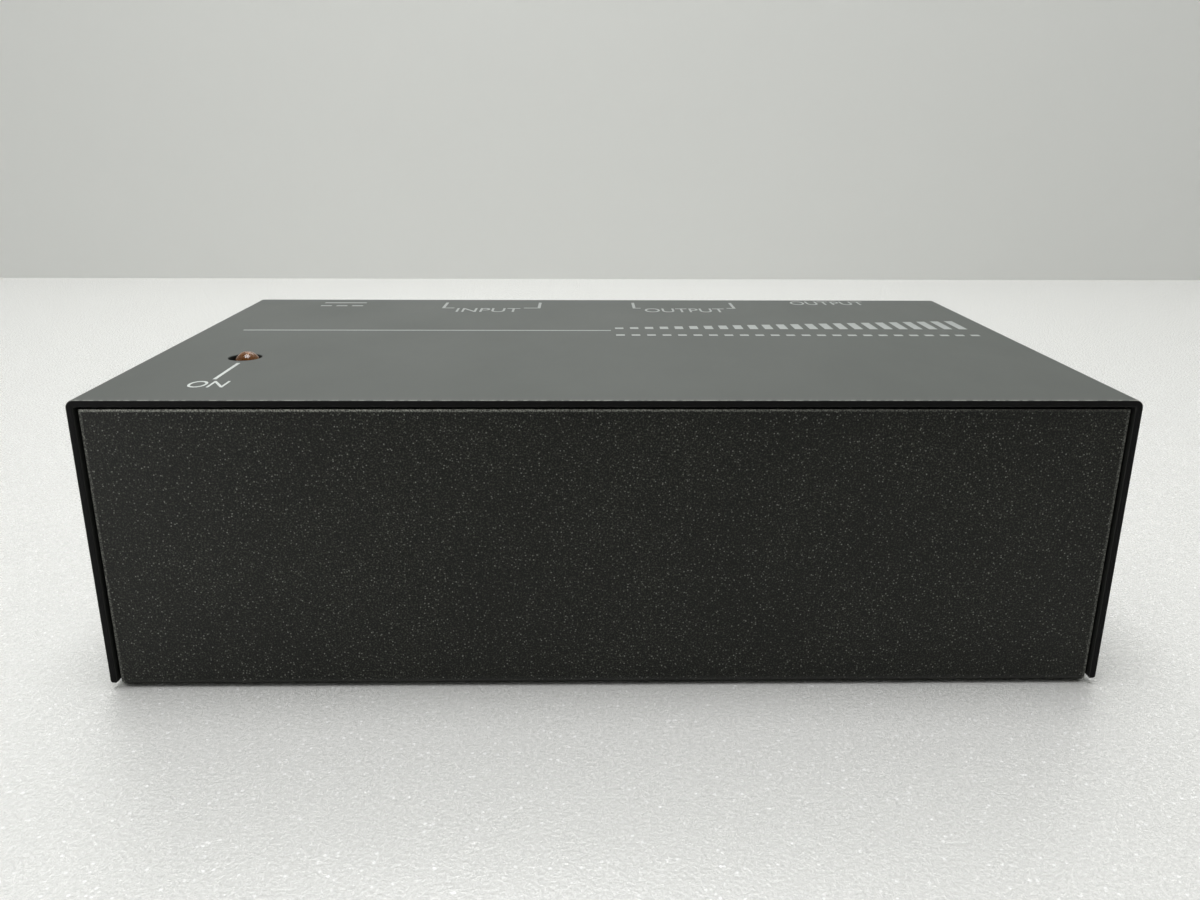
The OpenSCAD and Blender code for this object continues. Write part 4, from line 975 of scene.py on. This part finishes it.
def makeDcInlet():
    shape = dcInletShape
    low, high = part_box("dc_jack_housing")
    axis = middle("dc_centre_pin")
    panelIn = high.y - baseChassisShape["sheet"]
    housing = block(low, (high.x, panelIn, high.z))
    roundEdges(housing, shape["edge"])
    back, floor = (low.y + panelIn) / 2, high.y - shape["cavityDepth"]
    combine(housing, rod(shape["nose"], (axis.x, back, axis.z), high.y - back, alongY, 96), "UNION")
    combine(housing, rod(shape["cavity"], (axis.x, floor, axis.z), 20 * mm, alongY, 96))
    combine(housing, rod(shape["stemHole"], (axis.x, low.y - 1 * mm, axis.z), 20 * mm, alongY, 32))
    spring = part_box("dc_spring_contact")
    half, (behind, ahead) = shape["slotWidth"] / 2, shape["slotGap"]
    combine(housing, block((axis.x - half, spring[0].y - behind, axis.z + shape["cavity"] / 2),
                           (axis.x + half, spring[1].y + ahead, high.z + 5 * mm)))
    roundEdges(housing, shape["fineEdge"], sharperThan=50)
    dress(housing, "dc_jack_housing", "black_plastic")
    low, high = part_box("dc_centre_pin")
    r, stem = shape["pin"], shape["stem"]
    corners = [(0.05 * mm, low.y, 0), (stem, low.y), (stem, floor, 0), (r, floor, 0),
               *domePoints(r, high.y - r, shape["tipSteps"]), (tiny, high.y, 0)]
    pin = turned(corners, 0.06 * mm, 48, closed=False, **rearward("dc_centre_pin"))
    dress(pin, "dc_centre_pin", "nickel")


groundWasherShape = {
    "hole": 1.7 * mm, "teeth": 10, "cutDepth": 0.7 * mm, "cutWidth": 0.5 * mm, "twist": 0.16, "edge": 0.05 * mm}


def makeGroundWasher():
    shape = groundWasherShape
    low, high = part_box("ground_washer")
    r, half = (high.x - low.x) / 2, shape["cutWidth"] / 2
    washer = turned(tube(shape["hole"], r, low.y, high.y), 0.08 * mm, 80, **rearward("ground_washer"))
    cuts = []
    for angle in (2 * math.pi * tooth / shape["teeth"] for tooth in range(shape["teeth"])):
        turn = Euler((0, angle, 0)).to_matrix() @ Euler((shape["twist"], 0, 0)).to_matrix()
        cut = block((r - shape["cutDepth"], -2 * mm, -half), (r + 1 * mm, 2 * mm, half))
        cuts.append(standAt(cut, middle("ground_washer"), turn.to_euler()))
    combine(washer, joinAll(cuts))
    roundEdges(washer, shape["edge"], 2, 45)
    dress(washer, "ground_washer", "plated_steel", "ground_washer")


capacitorShape = {
    "neck": 0.30 * mm, "neckPlace": 1.7 * mm, "neckHalf": 0.5 * mm, "fold": 0.8 * mm, "foot": 0.35 * mm,
    "dish": 0.12 * mm, "ventWidth": 0.28 * mm, "ventDepth": 0.12 * mm, "ventReach": 0.75, "stripe": 0.55,
    "stripeColour": (0.62, 0.64, 0.66), "twist": 0.05}
# the turns of the lid's vents and of the sleeve's stripe
capacitorKinds = {
    "filter_capacitors": ((0, math.pi / 2), 2.2), "output_capacitors": ((0, math.pi / 2), -1.0),
    "coupling_capacitors": ((0.5,), 1.6)}


def makeCapacitor(radius, height, vents):
    # the sleeve of an electrolytic capacitor and the bare lid that it is folded over, standing on the origin
    shape = capacitorShape
    r, h, place, foot, half = radius, height, shape["neckPlace"], shape["foot"], shape["neckHalf"]
    lid, rim, neck = r - shape["fold"], r - 0.8 * mm, r - shape["neck"]
    corners = [(nearAxis, foot), (rim, foot), (rim, 0), (r, 0, 0.15 * mm), (r, place - half, 0.3 * mm),
               (neck, place - 0.15 * mm, 0.2 * mm), (neck, place + 0.15 * mm, 0.2 * mm),
               (r, place + half, 0.3 * mm), (r, h, 0.5 * mm), (lid, h, 0.08 * mm), (lid, h - 0.5 * mm, 0),
               (nearAxis, h - 0.5 * mm)]
    sleeve = turned(corners, sides=48, closed=False)
    paintFaces(sleeve, shape["stripeColour"], lambda at, normal: abs(normal.z) < 0.2 and at.x > 0
               and abs(math.atan2(at.y, at.x)) < shape["stripe"] and at.z > place + half)
    top = h - shape["dish"]
    cap = turned(tube(nearAxis, lid - tiny, h - 0.6 * mm, top), 0.06 * mm, 48, closed=False)
    long, wide = shape["ventReach"] * lid, shape["ventWidth"] / 2
    for turn in vents:
        cut = block((-long, -wide, top - shape["ventDepth"]), (long, wide, top + 1 * mm))
        combine(cap, standAt(cut, turn=(0, 0, turn)))
    smooth(cap)
    return sleeve, cap


def makeElectrolytics():
    for node, (vents, turn) in capacitorKinds.items():
        boxes = solidsOf(node)
        size = halfSize(boxes[0])
        places = [over(box, box[0].z) for box in boxes]
        # none is turned quite like its neighbour
        turns = [(0, 0, turn + capacitorShape["twist"] * math.sin(3 * i)) for i in range(len(boxes))]
        sleeve, lid = makeCapacitor(size.x, 2 * size.z, vents)
        dress(scatter(sleeve, places, turns), node, "capacitor_sleeve")
        finishPiece(scatter(lid, places, turns), node + "_lids", "tinned_metal")


digitColours = (
    (0.01, 0.01, 0.01), (0.13, 0.045, 0.015), (0.50, 0.015, 0.01), (0.75, 0.20, 0.02), (0.75, 0.60, 0.03),
    (0.03, 0.25, 0.05), (0.03, 0.07, 0.45), (0.22, 0.05, 0.35), (0.25, 0.25, 0.25), (0.75, 0.75, 0.72))
resistorShape = {
    "cap": 0.52, "waist": 0.42, "thin": 0.84, "round": 0.86, "bandHalf": 0.26 * mm,
    "bands": (-0.73, -0.36, -0.10, 0.16, 0.73), "values": ("47021", "10011", "75011", "22121")}


def makeResistors():
    shape = resistorShape
    boxes = solidsOf("resistors")
    size = halfSize(boxes[0])
    half, r, cap, waist, end = size.x, size.z, shape["cap"], shape["waist"], shape["round"]

    def radiusAt(z):
        share = abs(z) / half
        if share > cap:
            return r * math.sqrt(max(0.02, 1 - max(0, (share - end) / (1 - end)) ** 2))
        return r * (shape["thin"] + (1 - shape["thin"]) * max(0, (share - waist) / (cap - waist)))

    marks = {side * half * share for side in (-1, 1) for share in (1, 0.985, 0.95, 0.9, end, cap, waist)}
    marks |= {band * half + side * shape["bandHalf"] for band in shape["bands"] for side in (-1, 1)}
    pattern = turned([(radiusAt(z), z) for z in sorted(marks)], 0, 32, closed=False, turn=alongX)
    made = []
    for i, (low, high) in enumerate(boxes):
        copy = duplicate(pattern)
        for digit, band in zip(shape["values"][i % len(shape["values"])], shape["bands"]):
            paintFaces(copy, digitColours[int(digit)], lambda at, normal: abs(normal.x) < 0.7
                       and abs(at.x - band * half) < shape["bandHalf"])
        made.append(standAt(copy, (low + high) / 2))
    bpy.data.objects.remove(pattern)
    dress(joinAll(made), "resistors", "resistor_lacquer")


diodeShape = {"round": 0.35 * mm, "band": (-0.72, -0.42), "bandColour": (0.55, 0.56, 0.57)}


def makeDiodes():
    boxes = solidsOf("diodes")
    size = halfSize(boxes[0])
    half, r, soft = size.x, size.z, diodeShape["round"]
    bandStart, bandEnd = (share * half for share in diodeShape["band"])
    corners = [(nearAxis, -half), (r, -half, soft), (r, bandStart, 0), (r, bandEnd, 0), (r, half, soft),
               (nearAxis, half)]
    pattern = turned(corners, 0, 32, closed=False, turn=alongX)
    paintFaces(pattern, diodeShape["bandColour"], lambda at, normal: bandStart < at.x < bandEnd)
    dress(scatter(pattern, [(low + high) / 2 for low, high in boxes]), "diodes", "moulded_epoxy")


ferriteShape = {"hole": 0.55 * mm, "round": 0.3 * mm}


def makeFerriteBeads():
    boxes = solidsOf("ferrite_beads")
    size = halfSize(boxes[0])
    pattern = turned(tube(ferriteShape["hole"], size.z, -size.x, size.x), ferriteShape["round"], 32, turn=alongX)
    dress(scatter(pattern, [(low + high) / 2 for low, high in boxes]), "ferrite_beads", "ferrite")


chipShape = {
    "draft": (0.958, 0.93, 1), "notch": 0.9 * mm, "notchPlace": 0.15 * mm, "notchDepth": 0.5 * mm,
    "dimple": 0.5 * mm, "dimplePlace": (1.5 * mm, 1.35 * mm), "dimpleDepth": 0.12 * mm, "edge": 0.12 * mm}


def makeChips():
    shape = chipShape
    made = []
    for low, high in solidsOf("opamp_chips"):
        centre = (low + high) / 2
        chip = block(low, high)
        editMode(chip)
        bisectAll(centre, (0, 0, 1))
        for face in (-1, 1):
            selectFaces(chip, lambda at, normal: face * normal.z > 0.5)
            bpy.ops.transform.resize(value=shape["draft"], center_override=centre)
        objectMode()
        notch = (low.x + shape["notchPlace"], centre.y, high.z - shape["notchDepth"])
        combine(chip, rod(shape["notch"], notch, 2 * mm, sides=48))
        x, y = shape["dimplePlace"]
        dimple = (low.x + x, low.y + y, high.z - shape["dimpleDepth"])
        combine(chip, rod(shape["dimple"], dimple, 2 * mm, sides=32))
        roundEdges(chip, shape["edge"], 2, 30)
        paintFaces(chip, (0, 0, 0), lambda at, normal: False)
        made.append(chip)
    dress(joinAll(made), "opamp_chips", "moulded_epoxy")


# how far in from the sides the top and the foot step, and how far up
filmShape = {"top": (0.7 * mm, -0.12 * mm), "foot": (0.5 * mm, 0.3 * mm), "edge": 0.35 * mm}


def makeFilmCapacitors():
    shape = filmShape
    made = []
    for low, high in solidsOf("film_capacitors"):
        box = block(low, high)
        editMode(box)
        # the resin sinks a little on top, and a rim lifts the rest off the board
        for side, inset, step in ((1, *shape["top"]), (-1, *shape["foot"])):
            selectFaces(box, lambda at, normal: side * normal.z > 0.5)
            bpy.ops.mesh.inset(thickness=inset)
            slide(z=step)
        objectMode()
        roundEdges(box, shape["edge"], sharperThan=50)
        made.append(box)
    dress(joinAll(made), "film_capacitors", "film_resin")


ceramicShape = {"rim": 0.45, "lead": 0.40 * mm, "dripFoot": 0.7 * mm, "dripTop": 0.9 * mm, "drip": 0.85 * mm}


def makeCeramicCapacitors():
    shape = ceramicShape
    made = []
    for box in solidsOf("ceramic_capacitors"):
        size, rim = halfSize(box), shape["rim"]
        r, half = size.x, size.y
        bulge = [(r * math.cos(a), half * (rim + (1 - rim) * math.sin(a)))
                 for a in (math.radians(15 * i) for i in range(1, 6))]
        corners = [(nearAxis, -half), *[(x, -z) for x, z in reversed(bulge)], (r, -rim * half), (r, rim * half),
                   *bulge, (nearAxis, half)]
        made.append(turned(corners, 0, 40, closed=False, place=(box[0] + box[1]) / 2, turn=alongY))
    # the dip runs down each lead
    for box in solidsOf("ceramic_capacitor_leads"):
        foot, top, lead = box[0].z + shape["dripFoot"], box[1].z + shape["dripTop"], shape["lead"]
        corners = [(nearAxis, foot), (lead, foot), (lead + 0.06 * mm, foot + 0.5 * mm), (shape["drip"], top),
                   (nearAxis, top)]
        made.append(turned(corners, sides=20, closed=False, place=over(box)))
    dress(joinAll(made), "ceramic_capacitors", "ceramic_coat")


standoffShape = {"bore": 1.3 * mm, "stem": 2.1 * mm, "stemHeight": 1.0 * mm}


def makeStandoffsAndScrews():
    shape = standoffShape
    boxes = solidsOf("board_standoffs")
    low, high = boxes[0]
    bore, stem, r, stemTop = shape["bore"], shape["stem"], (high.x - low.x) / 2, low.z + shape["stemHeight"]
    corners = [(bore, low.z, 0.1 * mm), (stem, low.z), (stem, stemTop, 0), (r, stemTop, 0.05 * mm), (r, high.z),
               (bore, high.z, 0.2 * mm)]
    posts = scatter(turned(corners, 0.15 * mm, 48), [over(box) for box in boxes])
    dress(posts, "board_standoffs", "plated_steel")
    low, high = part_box("board_screws")
    screw = makeScrew(high.z - screwShape["headHeight"] - low.z)
    turns = [(0, 0, 0.4 + 0.9 * i) for i in range(len(boxes))]
    dress(scatter(screw, [over(box, boardTop()) for box in boxes], turns), "board_screws", "plated_steel")


boardPrint = {
    "line": 0.18 * mm, "height": 0.03 * mm, "margin": 0.35 * mm, "track": 0.5 * mm, "copper": 0.04 * mm,
    "sunk": 0.005 * mm, "pad": 0.85 * mm, "padHeight": 0.1 * mm, "columns": 4 * mm, "shortest": 3 * mm,
    "longest": 16 * mm}


def lineStrip(start, end, width, height):
    # the middle, the size and the turn of a flat strip on the board between two points
    start, end, sunk = Vector(start), Vector(end), boardPrint["sunk"]
    run = end - start
    return ((*(start + end) / 2, boardTop() + height / 2 - sunk), (run.length + width, width, height + 2 * sunk),
            run.angle_signed(Vector((1, 0))))


def layStrips(strips, pads=()):
    deselectAll()
    for centre, size, turn in strips:
        bpy.ops.mesh.primitive_cube_add(size=1, location=centre, rotation=(0, 0, turn), scale=size)
        if bpy.context.mode == "OBJECT":
            piece = bpy.context.object
            applyPlace(piece)
            editMode(piece)
    for centre, radius, height in pads:
        bpy.ops.mesh.primitive_cylinder_add(vertices=20, radius=radius, depth=height, location=centre)
    objectMode()
    return piece


def makeBoardPrint():
    look = boardPrint
    grow, line = look["margin"], look["line"]
    strips, rings = [], []
    for node in ("resistors", "diodes", "ferrite_beads", "film_capacitors", "opamp_chips", "ceramic_capacitors"):
        for low, high in solidsOf(node):
            x0, y0, x1, y1 = low.x - grow, low.y - grow, high.x + grow, high.y + grow
            corners = [(x0, y0), (x1, y0), (x1, y1), (x0, y1)]
            strips += [lineStrip(corners[i - 1], corners[i], line, look["height"]) for i in range(4)]
    low, high = boardTop() - look["sunk"], boardTop() + look["height"]
    for node in capacitorKinds:
        boxes = solidsOf(node)
        r = halfSize(boxes[0]).x + grow
        ring = turned(tube(r, r + line, low, high), 0, 48)
        rings.append(scatter(ring, [over(box) for box in boxes]))
    finishPiece(joinAll([layStrips(strips), *rings]), "board_legends", "legend_ink")


def makeTracks():
    # each track leaves a pad aslant and ends straight, as a router lays it
    look = boardPrint
    strips = []
    pads = [over(box)[:2] for box in solidsOf("solder_joints")]
    pads.sort(key=lambda pad: (round(pad[0] / look["columns"]), pad[1]))
    for start, end in zip(pads, pads[1:]):
        run = Vector(end) - Vector(start)
        if look["shortest"] < run.length < look["longest"] and abs(run.x) > look["track"]:
            slant = min(abs(run.x), abs(run.y))
            bend = Vector(start) + Vector((math.copysign(slant, run.x), math.copysign(slant, run.y)))
            for ends in ((start, bend), (bend, end)):
                if (Vector(ends[1]) - Vector(ends[0])).length > look["track"]:
                    strips.append(lineStrip(*ends, look["track"], look["copper"]))
    rounds = [((*pad, boardTop()), look["pad"], look["padHeight"]) for pad in pads]
    finishPiece(layStrips(strips, rounds), "board_tracks", "solder_mask")


# the width in millimetres of the soft edge on nodes that keep their CAD shape
softEdges = {
    "circuit_board": 0.05, "input_jack_block": 0.3, "output_jack_block": 0.3, "line_jack_body": 0.3,
    "voltage_regulator": 0.15, "regulator_frame": 0.1, "line_tip_spring": 0.08, "line_ring_spring": 0.08,
    "dc_spring_contact": 0.06, "ground_nut": 0.1, "chip_legs": 0.05}


def dressNodes():
    slots = {part["node"]: part["material_slot"] for part in frame["record"]["subparts"]}
    for name, node in frame["nodes"].items():
        node.data.materials.clear()
        node.data.materials.append(materials[slots[name]])
        if name in softEdges and not node.hide_render:
            weld = node.modifiers.new("Weld", "WELD")
            weld.merge_threshold = tiny / 10
            flatten = node.modifiers.new("Flatten", "DECIMATE")
            flatten.decimate_type = "DISSOLVE"
            flatten.angle_limit = math.radians(2)
            bevel = node.modifiers.new("Bevel", "BEVEL")
            bevel.width, bevel.segments = softEdges[name] * mm, 3
            bevel.limit_method, bevel.angle_limit = "ANGLE", math.radians(40)


stageLook = {
    "floorColour": (0.78, 0.78, 0.762), "floorDip": (0.66, 0.662, 0.646), "dipReach": (0.38, 0.62),
    "grainSize": 0.36 * mm, "grainDepth": 0.07 * mm, "roughness": (0.36, 0.20), "specular": 0.9, "ior": 1.7,
    "subsurface": 0.7, "softness": 1.5 * mm, "glintColour": (0.98, 0.98, 0.97), "glintSize": 0.9 * mm,
    "glintReach": (0.12, 0.2), "glintChosen": (0.15, 0.6), "reach": 3.0, "wallColour": (0.81, 0.82, 0.79),
    "wallRoughness": 0.5, "wallY": 277 * mm, "background": (0.80, 0.82, 0.79)}


def addPlane(name, place, turn, slotName):
    deselectAll()
    bpy.ops.mesh.primitive_plane_add(size=2 * stageLook["reach"], location=place, rotation=turn)
    plane = bpy.context.object
    plane.name = name
    plane.data.materials.append(materials[slotName])
    return plane


def makeFloorFinish():
    look = stageLook
    colour = look["floorColour"]
    tree, shader = startMaterial("floor_finish", colour, look["roughness"][0], specular=look["specular"])
    setInputs(shader, {"IOR": look["ior"], "Subsurface Weight": look["subsurface"],
                       "Subsurface Radius": (1, 1, 1), "Subsurface Scale": look["softness"]})
    grain = addNoise(tree, 1 / look["grainSize"], 5)
    crinkled = addMix(tree, addRange(tree, grain, (0, 1), look["dipReach"]), look["floorDip"], colour)
    # painted glints: near-white cells in the floor's colour stand for sparkles of light on its grain
    distance, shade = addCells(tree, look["glintSize"])
    glint = multiply(tree, addRange(tree, distance, (1, 0), look["glintReach"]),
                     addRange(tree, shade, (0, 1), look["glintChosen"]))
    addFinish(tree, shader, addMix(tree, glint, crinkled, look["glintColour"]),
              addRange(tree, grain, look["roughness"], noiseReach))
    addBump(tree, shader, grain, look["grainDepth"])


def makeStage():
    look = stageLook
    makeFloorFinish()
    startMaterial("wall_finish", look["wallColour"], look["wallRoughness"])
    floor = addPlane("floor", (0, 0, cadLow.z), (0, 0, 0), "floor_finish")
    wall = addPlane("wall", (0, look["wallY"], 0), (math.pi / 2, 0, 0), "wall_finish")
    applyPlace(wall)


lightLook = {"tint": (0.98, 1.0, 0.975), "sky": (0.03, 0.76), "skyReach": (-0.55, 0.3),
             "lamps": {"ceiling": {"place": (-0.04, -0.08, 1.0), "size": 0.7, "power": 9.4},
                       "left": {"place": (-0.17, -0.14, 0.025), "size": 0.07, "power": 0.055},
                       "back": {"place": (-0.03, 0.26, 0.24), "size": 0.26, "power": 0.32}}}


def makeWorld():
    look = lightLook
    world = bpy.data.worlds.new("studio")
    bpy.context.scene.world = world
    world.use_nodes = True
    tree = world.node_tree
    background = tree.nodes["Background"]
    setInputs(background, {"Color": (*look["tint"], 1)})
    # the room is dim on the viewer's side
    strength = addRange(tree, addPlace(tree, "Y", "Generated"), look["sky"], look["skyReach"])
    tree.links.new(strength, background.inputs["Strength"])
    seen = tree.nodes.new("ShaderNodeBackground")
    setInputs(seen, {"Color": (*stageLook["background"], 1)})
    path = tree.nodes.new("ShaderNodeLightPath")
    seenBy = addMath(tree, "MAXIMUM", path.outputs["Is Camera Ray"], path.outputs["Is Transmission Ray"])
    mix = tree.nodes.new("ShaderNodeMixShader")
    tree.links.new(seenBy, mix.inputs["Fac"])
    tree.links.new(background.outputs["Background"], mix.inputs[1])
    tree.links.new(seen.outputs["Background"], mix.inputs[2])
    tree.links.new(mix.outputs["Shader"], tree.nodes["World Output"].inputs["Surface"])


def makeLight():
    makeWorld()
    for name, look in lightLook["lamps"].items():
        lamp = bpy.data.lights.new(name, "AREA")
        lamp.shape = "DISK"
        lamp.size, lamp.energy = look["size"], look["power"]
        holder = bpy.data.objects.new(name, lamp)
        bpy.context.scene.collection.objects.link(holder)
        holder.visible_camera = False
        holder.location = look["place"]
        holder.rotation_euler = (-Vector(look["place"])).to_track_quat("-Z", "Y").to_euler()


cameraPlace = {
    "location": (-2.59 * mm, -121.96 * mm, 55.89 * mm), "yaw": 1.06, "pitch": 17.78, "roll": 0.27, "lens": 29.67,
    "sensor": 36.0, "clip": (1 * mm, 20)}


def makeCamera():
    place = cameraPlace
    yaw, pitch, roll = (math.radians(place[name]) for name in ("yaw", "pitch", "roll"))
    camera = bpy.data.objects.new("camera", bpy.data.cameras.new("camera"))
    bpy.context.scene.collection.objects.link(camera)
    camera.data.lens, camera.data.sensor_width = place["lens"], place["sensor"]
    camera.data.clip_start, camera.data.clip_end = place["clip"]
    turn = (Matrix.Rotation(-yaw, 4, "Z") @ Matrix.Rotation(math.pi / 2 - pitch, 4, "X")
            @ Matrix.Rotation(roll, 4, "Z"))
    camera.matrix_world = Matrix.Translation(place["location"]) @ turn
    bpy.context.scene.camera = camera


makeMaterials()
makeTopCover()
makeBaseChassis()
print("case made")
placeScrews()
makeLamp()
makeLegends()
print("screws, lamp and legends made")
makePhonoSockets()
makeLineJack()
makeDcInlet()
makeGroundWasher()
print("rear sockets made")
makeElectrolytics()
makeResistors()
makeDiodes()
makeFerriteBeads()
makeChips()
makeFilmCapacitors()
makeCeramicCapacitors()
makeStandoffsAndScrews()
makeBoardPrint()
makeTracks()
print("electronics made")
dressNodes()
makeStage()
makeLight()
makeCamera()
bpy.context.scene.view_settings.view_transform = "Standard"
deselectAll()
print("scene made")
